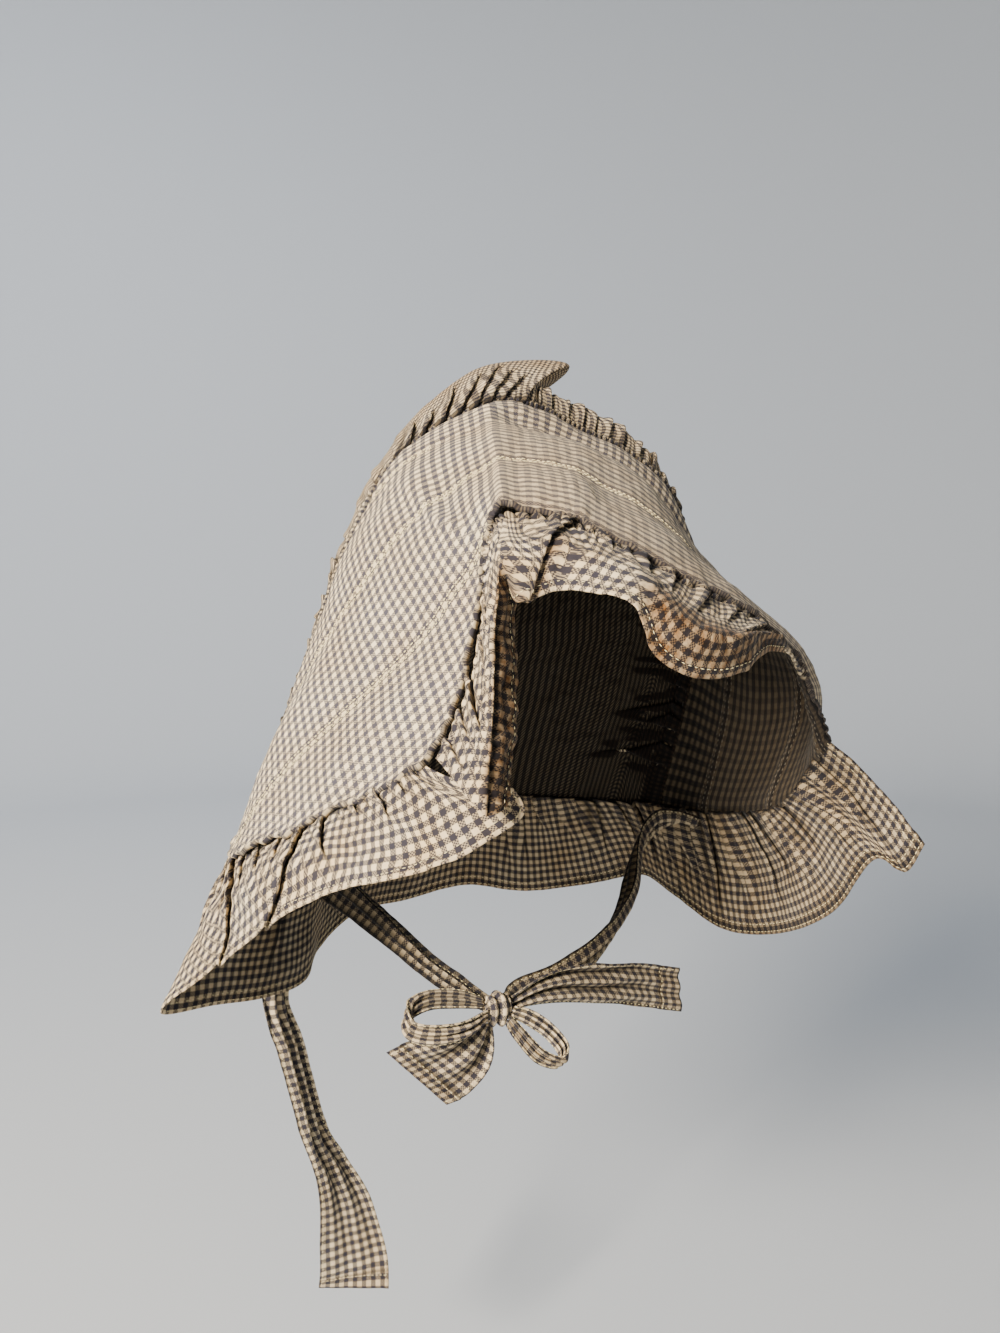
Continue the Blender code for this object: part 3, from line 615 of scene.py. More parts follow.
crown = {
    "sections": [  # mm behind the seam, width share, width share at the neck, height share
        (0, 1.00, 1.00, 1.00), (10, 0.98, 0.90, 1.01), (24, 0.94, 0.76, 0.99), (38, 0.86, 0.60, 0.95),
        (50, 0.74, 0.46, 0.90), (60, 0.56, 0.33, 0.83), (66, 0.31, 0.18, 0.77), (68, 0.00, 0.00, 0.73),
    ],
    "centre": (-12.0, -60.0),
    "neck": -168.0,
    "height": 230.0,
    "squareness": 0.6,
    "crest": [(0.400, 0.056, (6, 4, 20)), (0.452, 0.034, (40, -6, 12)), (0.680, 0.120, (3, 0, 4))],
    "crestBack": 0.20,
    "crestDepth": 0.13,
    "gathers": 78,
    "gatherHeight": 0.5,
    "gatherReach": 0.14,
    "wander": (2.0, 26.0, 5.0),
    "uneven": (0.7, 15.0, 25.0),
    "crumple": [(1.5, 22.0, 7.0), (0.5, 8.0, 17.0)],
    "folds": 17,
    "foldHeight": 1.5,
    "pleats": [  # mm along the seam, overlap, half width, height, reach back, slant in mm
        (168, 2.0, 3.0, 1.2, 0.25, 0), (184, 2.0, 3.0, 1.2, 0.20, 20), (202, 3.0, 3.0, 1.8, 0.25, 20),
        (219, 3.0, 3.0, 2.0, 0.22, 40), (228, 5.0, 2.8, -2.6, 0.13, 70), (238, 5.5, 2.6, -2.8, 0.10, 110),
        (249, 6.0, 2.8, -3.0, 0.15, 90), (260, 6.0, 2.6, -3.0, 0.14, 120), (271, 5.5, 2.4, -2.8, 0.16, 70),
        (280, 4.5, 2.2, -2.6, 0.12, 60), (289, 3.0, 2.2, -2.2, 0.10, 40),
    ],
    "smallPleatsFrom": (16, 303),  # mm along the seam; they stop before the crest and at the left end
    "smallPleats": ((1.3, 2.4), (2.0, 2.8), (1.0, 1.9), (0.12, 0.42), (-25, 25), (7.5, 12.0)),
    "sink": (2.2, 5.0),  # how deep the crown's edge dives behind the heading, and how much deeper beside the roll
    "roll": (0.60, 0.12, 0.09, 0.05, 10.0),  # the rolled fold: where round, spread, how far back, spread, height
    "crowding": (2.0, 2.3, 1.2),  # how the gathers draw the cloth up: along the seam, down at the crest, down the back
    "thickness": 0.5,
    "columns": 800,
    "rows": 52,
}
heading = {
    "seamGap": 0.4,
    "lift": 0.35,
    "liftMore": 0.2,  # over the left temple
    "widths": [  # share of the way round, mm
        (0.0, 7.4), (0.27, 7.4), (0.31, 4.0), (0.44, 4.0), (0.50, 5.4), (0.72, 5.4), (0.82, 7.4), (1.0, 7.4),
    ],
    "crowding": 1.9,  # how much cloth the gathers draw up
    "ruffles": 104,
    "ruffleHeight": 1.2,
    "wander": (2.2, 22.0, 2.0, 2),
    "uneven": (0.6, 9.0, 4.0),
    "columns": 800,
    "rows": 8,
}


def seamOnward(around):
    return unit(brimPoints(around, [0.0])[:, 0] - brimPoints(around, [0.03])[:, 0])


def seamOutward(around):
    low, high = np.maximum(around - 0.01, 0.0), np.minimum(around + 0.01, 1.0)
    across = brimPoints(high, [0.0])[:, 0] - brimPoints(low, [0.0])[:, 0]
    ahead = brimPoints(around, [0.01])[:, 0] - brimPoints(around, [0.0])[:, 0]
    return unit(np.cross(ahead, across))


def headingWay(around):
    atTemple = ramp(around, 0.46, 0.5) * (1 - ramp(around, 0.74, 0.8))
    lift = heading["lift"] * np.sin(math.pi * around) ** 3 + heading["liftMore"] * atTemple
    return unit(seamOnward(around) + lift[:, None] * seamOutward(around))


def headingWidth(around):
    return np.interp(around, *np.transpose(heading["widths"]))


def crownPoints(around, back):
    behind, width, neckWidth, height = through(crown["sections"], back).T
    seam = brimPoints(around, [0.0])[:, 0] + heading["seamGap"] * seamOnward(around)
    seam = seam + (headingWidth(around) + heading["seamGap"])[:, None] * headingWay(around)
    rise = np.clip((seam[:, 2] - crown["neck"]) / crown["height"], 0.0, 1.0)[:, None]
    share = neckWidth + (width - neckWidth) * rise ** crown["squareness"]
    x = crown["centre"][0] + (seam[:, :1] - crown["centre"][0]) * share
    y = seam[:, 1:2] + behind + 0 * rise
    z = crown["neck"] + (seam[:, 2:] - crown["neck"]) * (1.0 + (height - 1.0) * rise)
    return np.stack([x, y, z], axis=-1)


def makeHeading():
    around, rows = even(heading["columns"]), even(heading["rows"])
    foot = brimPoints(around, [0.0])[:, 0] + heading["seamGap"] * seamOnward(around)
    way, outward = headingWay(around), seamOutward(around)
    length = lengthsAlong(foot)
    wave = gatherWave(length, 0 * length, heading["ruffles"] * around, heading["wander"], heading["uneven"])
    width = headingWidth(around) * (1 + 0.12 * noiseField(length, 0 * length, 14.0, 6.0, 2))
    grid = foot[:, None] + (width[:, None] * rows)[..., None] * way[:, None]
    crestSide = ramp(around, 0.29, 0.33) * (1 - ramp(around, 0.43, 0.46))
    swell = np.sin(math.pi * np.clip(rows * 0.8 + 0.15, 0, 1))
    quiet = (0.4 + 0.5 * ramp(around, 0.24, 0.31) * (1 - ramp(around, 0.80, 0.9))) * (1 - 0.7 * crestSide)
    lift = heading["ruffleHeight"] * (quiet * wave)[:, None] * swell - 1.0 * bell(rows, 0.0, 0.2)
    grid = grid + lift[..., None] * outward[:, None]
    flatMap = np.stack(np.broadcast_arrays(heading["crowding"] * length[:, None], width[:, None] * rows), axis=-1)
    # Marks: the strip darker overall, more over the left temple; painted shade in the ruffles' valleys and along the
    # seam.
    dark = 0.25 + 0.25 * ramp(around, 0.40, 0.48) * (1 - ramp(around, 0.8, 0.9))
    marks = {"grimeAndShade": dark[:, None] + 0.6 * np.clip(-wave[:, None], 0, 1) + 0.5 * bell(rows, 0.0, 0.15)}
    return makeSheet("crownHeading", grid, flatMap, materials["gathered"], marks)


def makeCrown():
    around, back = even(crown["columns"]), even(crown["rows"]) ** 1.45
    base = crownPoints(around, back)
    a, b = np.meshgrid(around, back, indexing="ij")
    centre = np.stack(np.broadcast_arrays(crown["centre"][0], base[..., 1] - 30.0, crown["centre"][1]), axis=-1)
    outward = unit(base - centre)
    ends = np.sin(math.pi * a) ** 0.5
    length = lengthsAlong(base[:, 0])
    mmAround, mmBack = length[:, None] + 0 * b, b * 140 + 0 * a
    folds = crown["foldHeight"] * np.cos(2 * math.pi * crown["folds"] * a + 2.5 * b)
    folds = folds * np.minimum(1.0, 6.0 * b + 0.15) * (1 - b) ** 1.5
    place, spread, behind, reach, height = crown["roll"]
    rolled = bell(a, place, spread)
    sink = crown["sink"][0] + crown["sink"][1] * rolled
    puff = 2.0 * np.sin(math.pi * np.minimum(1.0, 2.2 * b)) - sink * np.exp(-b / 0.014)
    puff = puff + height * rolled * bell(b, behind, reach)
    wave = gatherWave(mmAround, mmBack, crown["gathers"] * a, crown["wander"], crown["uneven"])
    gathers = crown["gatherHeight"] * wave * np.exp(-b / crown["gatherReach"])
    crumple = crumpled(mmAround, mmBack, crown["crumple"]) * (1 - b) ** 0.5
    quiet = 0.35 + 0.65 * ramp(a, 0.24, 0.31) * (1 - ramp(a, 0.80, 0.9))
    smooth = 1 - 0.7 * bell(a, 0.44, 0.07) * ramp(b, 0.1, 0.2)
    lift = (folds * smooth + puff + gathers * quiet) * ends + crumple * smooth * ends * (1 - b ** 8)
    grid = base + lift[..., None] * outward
    crest = bell(b, crown["crestBack"], crown["crestDepth"])
    for place, spread, top in crown["crest"]:
        grid = grid + (crest * bell(a, place, spread))[..., None] * np.array(top)
    blurred = (0.9 * bell(a, 0.45, 0.06) * ramp(b, 0.05, 0.14))[..., None]
    for _ in range(2):  # the crest's top is one smooth puff
        grid = grid + blurred * (smoothed(grid, 9) - grid)
    pleats = list(crown["pleats"])
    for start, stop in zip(crown["smallPleatsFrom"], (160, length[-1] - 14)):
        pleats += smallPleats(start, stop, crown["smallPleats"])
    along, crest, rear = crown["crowding"]
    steps = np.linalg.norm(np.diff(grid, axis=1), axis=2)
    fallen = summed(steps * (rear + (crest - rear) * bell(back[1:], 0.1, 0.3)))
    across = np.stack([lengthsAlong(grid[:, j]) for j in range(len(back))], axis=1)
    across = along * (across - across[int(brim["ridge"] * len(across))])
    grid, hidden = foldOver(grid, outwardOf(grid), back, pleats)
    grid[:, -1] = (grid[:, -1] + grid[::-1, -1]) / 2
    # Marks: painted shade in the creases, under the pleats' overlaps and in the gap along the seam, widest beside the
    # roll; a warm stain on the crest.
    seamShade = np.exp(-b / (0.012 + 0.03 * rolled))
    marks = {
        "grimeAndShade": 0.9 * crevice(grid, side=-1) + 0.9 * hidden + 0.9 * seamShade,
        "stainAndShade": 0.2 * bell(b, 0.1, 0.1) + 0.5 * bell(a, 0.44, 0.08) * ramp(b, 0.08, 0.16),
    }
    # The seam allowance goes on forwards inside the heading and under the brim's edge.
    allowance = brimPoints(around, [0.0])[:, 0] - 3.5 * seamOnward(around) - 1.7 * seamOutward(around)
    grid = np.concatenate([allowance[:, None], (allowance[:, None] + grid[:, :1]) / 2, grid], axis=1)
    flatMap = np.stack([across, fallen], axis=-1)
    flatMap = np.concatenate([flatMap[:, :1] - (0, 12), flatMap[:, :1] - (0, 6), flatMap], axis=1)
    for mark, values in marks.items():
        marks[mark] = np.concatenate([values[:, :1], values[:, :1], values], axis=1)[::-1]
    return makeSheet("gatheredCrown", grid[::-1], flatMap[::-1], materials["gathered"], marks,
                     crown["thickness"], closed=True, inside=materials["lining"])


headingPiece = makeHeading()
crownPiece = makeCrown()
print("crown and heading made")


# Front frill

frill = {
    "folds": [  # share of the front edge, the fold's crown, the hem
        (0.010, (-82, -160, -115), (-71, -154, -114)),
        (0.085, (-78, -154, -97), (-64, -143, -100)),
        (0.170, (-73, -146, -77), (-59, -135, -79)),
        (0.250, (-69, -137, -56), (-56, -126, -57)),
        (0.330, (-67, -135, -41), (-55, -123, -41)),
        (0.385, (-66, -136, -28), (-58, -130, -37)),
        (0.420, (-61, -139, -24), (-62, -148, -42)),
        (0.460, (-50, -141, -22), (-56, -149, -40)),
        (0.500, (-41, -144, -22), (-49, -150, -38)),
        (0.560, (-33, -155, -28), (-42, -164, -39)),
        (0.620, (-24, -168, -34), (-34, -177, -43)),
        (0.680, (-20, -182, -46), (-26, -178, -60)),
        (0.730, (-10, -188, -54), (-11, -180, -68)),
        (0.780, (4, -187, -54), (10, -178, -67)),
        (0.830, (22, -175, -53), (29, -167, -61)),
        (0.880, (44, -159, -55), (50, -152, -62)),
    ],
    "heading": 6.0,  # mm of frill above its gathering thread
    "ruffles": 46,
    "ruffleHeight": 1.3,
    "wander": (2.4, 17.0, 4.0, 2),
    "uneven": (0.8, 10.0, 24.0),
    "crumple": [(1.3, 12.0, 6.0), (0.5, 5.0, 8.0)],
    "pleats": [  # mm along the seam, overlap, half width, height, reach down, slant in mm
        (9, 1.4, 2.8, 1.0, 0.5, -6), (22, 1.4, 2.4, 1.0, 0.4, -10), (36, 4.0, 3.0, 2.2, 0.5, -14),
        (55, 1.6, 2.4, 1.0, 0.4, 0), (72, 1.6, 2.4, 1.0, 0.4, 0), (131, 6.5, 4.4, 2.0, 3.5, -25),
        (147, 2.0, 2.4, 1.4, 0.35, 3), (163, 2.4, 2.6, 1.6, 0.4, 9), (175, 3.0, 2.8, 2.0, 0.45, 12),
        (190, 4.0, 3.0, 2.4, 0.5, 10), (208, 2.6, 2.6, 1.6, 0.4, 4), (226, 3.0, 2.8, 2.0, 0.6, 0),
        (241, 3.0, 2.8, 2.0, 0.6, 0),
    ],
    "hem": 5.0,
    "hemLift": 0.35,
    "crowding": 1.1,
    "columns": 560,
    "rows": 56,
}


def hemLines(grid, fromEdge, half):  # a line on each face of a sheet, at a distance from its last row
    outward = outwardOf(grid)
    across = []
    for column in grid:
        length = lengthsAlong(column)
        across.append(np.interp(length[-1] - fromEdge, length, np.arange(len(column))))
    low = np.minimum(np.array(across).astype(int), grid.shape[1] - 2)
    t, here = (across - low)[:, None], np.arange(len(grid))
    line = grid[here, low] * (1 - t) + grid[here, low + 1] * t
    way = unit(outward[here, low])
    return [(line[2:-2] + side * (half + 0.04) * way[2:-2], way[2:-2]) for side in (1, -1)]


def hemStitches(name, grid, edges):
    lines = [line for fromEdge in edges for line in hemLines(grid, fromEdge, 0.3)]
    return sewLines(name, lines, "hem")


def makeFrill():
    places, folds, hems = zip(*frill["folds"])
    shares = places[0] + (places[-1] - places[0]) * even(frill["columns"])
    onward = unit(brimPoints(shares, [1.0])[:, 0] - brimPoints(shares, [0.97])[:, 0])
    seam = brimPoints(shares, [1.0])[:, 0] + 0.4 * onward
    fold, hem = through(folds, shares, places), through(hems, shares, places)
    down = even(frill["rows"])
    base = through(np.stack([seam, (seam + fold) / 2, fold, hem]), down).swapaxes(0, 1)
    outward = outwardOf(base)
    length = lengthsAlong(seam)
    s, d = np.meshgrid(shares, down, indexing="ij")
    fallen = summed(np.linalg.norm(np.diff(base, axis=1), axis=2))
    left = fallen[:, -1:] - fallen
    mmAlong = length[:, None] + 0 * d
    turns = frill["ruffles"] * (s - places[0]) / (places[-1] - places[0])
    wave = gatherWave(mmAlong, fallen, turns, frill["wander"], frill["uneven"])
    above = np.sin(math.pi * np.clip(fallen / frill["heading"], 0, 1)) ** 0.7
    below = ramp(fallen, frill["heading"], frill["heading"] + 3) * np.exp(-(fallen - frill["heading"]) / 12.0)
    turnedIn = 1 - ramp(s, 0.30, 0.36)  # the right side, folded in towards the face
    crumple = crumpled(mmAlong, fallen, frill["crumple"]) * ramp(d, 0.1, 0.4) * (1 + 1.2 * turnedIn)
    lift = frill["ruffleHeight"] * (0.3 + 0.7 * ramp(s, 0.17, 0.24)) * wave * (above + 0.45 * below) + 0.7 * crumple
    lift -= 1.3 * bell(fallen, frill["heading"], 1.0) + 1.8 * np.exp(-fallen / 1.3)
    lift += frill["hemLift"] * (left < frill["hem"])
    crease = bell(d, 0.74, 0.05) * turnedIn  # one long crease
    lift -= 2.2 * crease
    grid = base + lift[..., None] * outward
    grid, hidden = foldOver(grid, outwardOf(grid), down, frill["pleats"])
    flatMap = clothMap(base, len(down) - 1, frill["crowding"])
    # Marks: painted shade on the turned parts (the flap and the right side's lower part), beside the big pleat, along
    # the long crease, in the creases, under the folds and at the seam; the heading darker over the top and left; a
    # light stain all over.
    turned = ramp(d, 0.55, 0.75) * (1 - ramp(s, 0.36, 0.42)) + ramp(d, 0.35, 0.6) * ramp(s, 0.60, 0.66)
    pleatShade = bell(mmAlong - 25 * (0.5 - d) + 12.5, 139, 6.0) * ramp(d, 0.2, 0.5)
    headingDarkening = 0.8 * np.exp(-fallen / 0.9) + 0.45 * (fallen < frill["heading"]) * ramp(s, 0.3, 0.4)
    marks = {
        "stainAndShade": 0.2 + 0.85 * turned + 0.6 * pleatShade + 0.4 * crease,
        "grimeAndShade": 0.7 * crevice(grid) + 0.6 * hidden + headingDarkening + 0.25 * turned + 0.4 * crease,
    }
    return makeSheet("frontFrill", grid, flatMap, materials["gathered"], marks), grid


frillPiece, frillGrid = makeFrill()
frillSewing = [hemStitches("frillHemStitches", frillGrid, [4.2])]
print("front frill made")


# Neck curtain

curtain = {
    "folds": [  # share of the lower edge, the hem's point
        (0.000, (-66, -148, -109)), (0.015, (-62, -150, -118)), (0.035, (-77, -150, -127)),
        (0.060, (-89, -146, -134)), (0.110, (-104, -130, -143)), (0.165, (-119, -100, -154)),
        (0.215, (-136, -65, -174)), (0.265, (-156, -31, -202)), (0.310, (-178, 0, -232)),
        (0.345, (-153, 12, -237)), (0.375, (-126, 22, -241)), (0.405, (-104, 40, -243)),
        (0.435, (-90, 66, -236)), (0.475, (-62, 88, -225)), (0.520, (-26, 112, -229)),
        (0.560, (16, 118, -226)), (0.605, (54, 104, -230)), (0.645, (88, 82, -224)), (0.690, (112, 58, -214)),
        (0.730, (118, 28, -220)), (0.775, (126, -6, -230)), (0.825, (133, -46, -222)),
        (0.880, (128, -94, -196)), (0.930, (123, -128, -160)), (0.970, (129, -141, -163)),
        (1.000, (131, -149, -149)),
    ],
    "crowding": (0.90, 0.34, 1.16),  # cloth drawn up at the flat right front, how much more elsewhere, downwards
    "gap": 0.4,
    "tuck": 2.4,  # mm of curtain that goes up behind the edge it is sewn to
    "belly": 5.0,
    "pleats": [  # mm along the seam, overlap, half width, height, reach down, slant in mm
        (8, 2.0, 2.2, 1.2, 0.4, 8), (19, 1.6, 2.2, 1.0, 0.3, 10), (31, 3.0, 2.6, 1.8, 0.5, 16),
        (46, 1.6, 2.0, 1.0, 0.3, 12), (66, 3.5, 2.8, 2.0, 0.7, 44), (81, 4.6, 3.2, 2.4, 1.7, 68),
        (100, 1.6, 2.2, 1.0, 0.5, 50), (118, 2.0, 2.4, 1.2, 0.5, 40), (134, 2.0, 2.4, 1.2, 0.6, 34),
        (148, 4.0, 3.0, 2.2, 1.5, 27), (162, 2.2, 2.6, 1.2, 0.8, 22), (176, 2.0, 2.6, 1.2, 0.6, 14),
        (190, 2.0, 2.6, 1.2, 0.6, 10),
    ],
    "smallPleatsFrom": 200.0,
    "smallPleats": ((1.8, 3.6), (2.2, 3.2), (1.0, 2.2), (0.4, 1.1), (-8, 8), (8.0, 15.0)),
    "ruffles": 96,
    "ruffleHeight": 0.6,
    "ruffleReach": 16.0,
    "wander": (2.2, 22.0, 8.0, 2),
    "uneven": (0.8, 16.0, 28.0),
    "crumple": [(1.5, 26.0, 12.0), (0.4, 8.0, 13.0)],
    "columns": 900,
    "rows": 46,
    "hem": 6.5,
    "hemLift": 0.35,
}


def lowerEdge():
    def brimHem(side, inner, forward):
        edge = brimPoints([side], forward)[0]
        return edge + curtain["gap"] * unit(edge - brimPoints([inner], forward)[0])
    below = np.array([0.0, 0.0, -curtain["gap"]])
    return np.concatenate([
        brimHem(0.0, 0.02, np.linspace(1.0, 0.0, 14)),
        crownPoints(np.array([0.0]), np.linspace(0.1, 1.0, 10))[0] + below,
        crownPoints(np.array([1.0]), np.linspace(0.9, 0.1, 9))[0] + below,
        brimHem(1.0, 0.98, np.linspace(0.0, 1.0, 14)),
    ])


def alongLine(line, shares):
    lengths = lengthsAlong(line)
    return np.stack([np.interp(shares * lengths[-1], lengths, line[:, axis]) for axis in range(3)], axis=-1)


def makeCurtain():
    edge = lowerEdge()
    shares, down = even(curtain["columns"]), even(curtain["rows"]) ** 1.15
    places, points = zip(*curtain["folds"])
    hem = through(points, shares, places)
    seam = alongLine(edge, shares)
    tangent = alongLine(edge, np.minimum(shares + 0.01, 1)) - alongLine(edge, np.maximum(shares - 0.01, 0))
    outward = -unit(np.cross(tangent, seam - hem))[:, None]
    seam = seam + curtain["tuck"] * unit(seam - hem) - 0.9 * outward[:, 0]
    s, d = np.meshgrid(shares, down, indexing="ij")
    length = lengthsAlong(seam)
    mmAlong, fallen = length[:, None] + 0 * d, d * np.linalg.norm(hem - seam, axis=1)[:, None]
    left = fallen[:, -1:] - fallen
    belly = curtain["belly"] * np.sin(math.pi * d) * (1 - 0.4 * d)
    wave = gatherWave(mmAlong, fallen, curtain["ruffles"] * s, curtain["wander"], curtain["uneven"])
    ruffles = curtain["ruffleHeight"] * wave * np.exp(-fallen / curtain["ruffleReach"])
    crumple = crumpled(mmAlong, fallen, curtain["crumple"]) * ramp(d, 0.1, 0.4)
    lift = belly + ruffles * ramp(fallen, 0.0, 3.0) + crumple + curtain["hemLift"] * (left < curtain["hem"])
    straightDown = seam[:, None] + (hem - seam)[:, None] * down[None, :, None]
    grid = straightDown + lift[..., None] * outward
    pleats = list(curtain["pleats"])
    pleats += smallPleats(curtain["smallPleatsFrom"], length[-1] - 12, curtain["smallPleats"])
    grid, hidden = foldOver(grid, outwardOf(grid), down, pleats)
    plain = straightDown + belly[..., None] * outward
    gathered = ramp(s, 0.28, 0.38)  # the right front is nearly flat, so its checks stay square to the hem
    steps = np.maximum(*(np.linalg.norm(np.diff(line, axis=0, prepend=line[:1]), axis=1) for line in (hem, seam)))
    atFront, more, downwards = curtain["crowding"]
    steps = steps * (atFront + more * gathered[:, 0])
    straight = np.stack(np.broadcast_arrays(np.cumsum(steps)[:, None], -downwards * left), axis=-1)
    flatMap = straight + (1 - gathered)[..., None] * (clothMap(plain, len(down) - 1, atFront) - straight)
    # Marks: painted shade in the folds, under the pleats and under the brim's edge at the seam; darker where gathered
    # and along the left part's hem band; stained towards the hem and on the left part, seen from inside.
    seenInside = 2 * (s > 0.42) - 1.0
    inFolds = 0.7 * crevice(grid, side=seenInside[..., None]) + 0.5 * hidden
    hemBand = (left < curtain["hem"]) * ramp(s, 0.6, 0.65)
    marks = {
        "grimeAndShade": inFolds + 0.8 * np.exp(-fallen / 1.4) + 0.3 * hemBand + 0.3 * gathered,
        "stainAndShade": 0.12 + 0.25 * ramp(-left, -8.0, 0.0) + 0.3 * ramp(s, 0.42, 0.5),
    }
    return makeSheet("neckCurtain", grid, flatMap, materials["gathered"], marks), grid


curtainPiece, curtainGrid = makeCurtain()
curtainSewing = [
    hemStitches("curtainHemStitches", curtainGrid, [5.6, 1.6]),
    hemStitches("curtainEndStitches", curtainGrid[-24:].swapaxes(0, 1), [5.2, 1.4]),
]
print("curtain made")


# Ties

ties = {
    "width": 42.0,
    "thickness": 0.7,
    "routes": {  # a row: the centre in mm, the way of the width, the width that shows as a share
        "chin_tie_right": [
            (-137.8, 26, -169.5, 0.0, 1.0, 0.0, 0.60), (-127, 31, -171, 0.0, 0.9, -0.4, 0.64),
            (-115, 36, -174, 0.1, 0.6, -0.8, 0.68), (-103, 37, -180, 0.1, 0.3, -0.9, 0.72),
            (-92, 25, -189, 0.1, 0.4, -0.9, 0.74), (-81, 4, -197, 0.1, 0.5, -0.8, 0.72),
            (-70, -22, -206, 0.2, 0.5, -0.8, 0.64), (-58, -41, -216, 0.2, 0.5, -0.8, 0.48),
            (-47, -53, -223, 0.2, 0.4, -0.9, 0.32), (-41.7, -63.1, -225.4, 0.2, 0.3, -0.9, 0.20)],
        "chin_tie_left": [
            (115.2, 12, -169, -0.1, 1.0, 0.0, 0.60), (106, 19, -171, 0.0, 0.8, -0.4, 0.66),
            (94, 22, -178, -0.1, 0.5, -0.8, 0.70), (80, 12, -190, -0.1, 0.4, -0.9, 0.74),
            (59, -14, -206, -0.2, 0.5, -0.8, 0.70), (31, -37, -217, -0.2, 0.5, -0.8, 0.60),
            (1, -48, -225, -0.1, 0.5, -0.8, 0.44), (-24, -54, -227, 0.0, 0.4, -0.9, 0.30),
            (-33.6, -64.8, -226.4, 0.1, 0.3, -0.9, 0.18)],
        "bow_loop_right": [
            (-45.4, -68.2, -222.7, 0.0, 0.3, 1.0, 0.12), (-56, -66, -220, 0.1, 0.4, 1.0, 0.19),
            (-70, -64, -219, 0.2, 0.5, 0.9, 0.21), (-80, -66, -222, 0.3, 0.2, 0.9, 0.24),
            (-81, -73, -227, 0.3, -0.2, 0.9, 0.24), (-71, -78, -229, 0.2, 0.1, 1.0, 0.22),
            (-57, -78, -229, 0.1, 0.1, 1.0, 0.20), (-45.3, -72.6, -226.8, 0.0, 0.2, 1.0, 0.12)],
        "bow_loop_left": [
            (-33.2, -73.0, -226.8, 0.5, 0.3, 0.8, 0.12), (-26, -75, -230, 0.6, 0.3, 0.7, 0.15),
            (-18, -79, -236, 0.7, 0.2, 0.6, 0.15), (-13.5, -85, -243, 0.8, 0.2, 0.4, 0.15),
            (-18, -90, -246, 0.8, -0.1, 0.5, 0.15), (-27, -88, -242, 0.7, -0.1, 0.6, 0.15),
            (-33.5, -81, -234, 0.5, 0.0, 0.8, 0.14), (-36.2, -75.2, -229.2, 0.6, 0.0, 0.7, 0.10)],
        "bow_tail_right": [
            (-44.3, -69, -231.8, 0.8, 0.0, -0.6, 0.14), (-49.5, -68, -238.5, 0.8, 0.0, -0.6, 0.48),
            (-57.5, -68, -244.5, 0.8, 0.0, -0.6, 0.78), (-68, -68, -249, 0.7, -0.1, -0.7, 0.90),
            (-77.5, -68, -251.5, 0.7, -0.2, -0.7, 0.86)],
        "bow_tail_left": [
            (-32.2, -68, -225, 0.1, 0.1, 1.0, 0.16), (-16, -68, -221, 0.1, 0.2, 1.0, 0.32),
            (4, -66, -222, 0.0, 0.1, 1.0, 0.44), (26, -62, -227, 0.0, 0.0, 1.0, 0.50),
            (48, -58, -233, 0.0, 0.0, 1.0, 0.54), (66, -56, -238, -0.1, 0.0, 1.0, 0.56)],
        "back_tie": [
            (-86.2, 89.8, -175.5, 0.8, 0.6, 0.0, 0.74), (-98, 94, -206, 0.7, 0.7, 0.0, 0.60),
            (-107, 90, -240, 0.7, 0.7, 0.0, 0.50), (-110, 88, -271, 0.7, 0.7, 0.0, 0.45),
            (-102, 89, -301, 0.7, 0.7, 0.0, 0.44), (-95, 90, -330, 0.7, 0.7, 0.0, 0.44),
            (-88, 90, -357, 0.7, 0.7, 0.0, 0.50), (-79, 89, -378, 0.8, 0.6, 0.0, 0.60),
            (-72, 88, -399, 0.9, 0.3, 0.0, 0.76), (-69, 87, -419, 1.0, 0.1, 0.0, 0.88),
            (-67, 86, -438, 1.0, -0.1, 0.1, 0.96), (-67, 86, -453, 0.9, -0.4, 0.0, 1.00)],
    },
    "rows": 35,
    "sideHem": 2.6,  # mm turned in along both sides
    "endHems": {"bow_tail_right": 7.0, "bow_tail_left": 13.0, "back_tie": 8.0},  # mm turned up at the free ends
    "crowding": {"bow_tail_right": 1.3, "bow_tail_left": 1.1},
    # how much each tie is darkened: painted shade where it hangs in shadow, with some grime
    "grimeAndShade": {
        "bow_tail_left": 0.35, "bow_tail_right": 0.2, "chin_tie_left": 0.4, "chin_tie_right": 0.45,
        "bow_loop_right": 0.25,
    },
    "creases": 2.5,  # lengthwise waves across the width
}


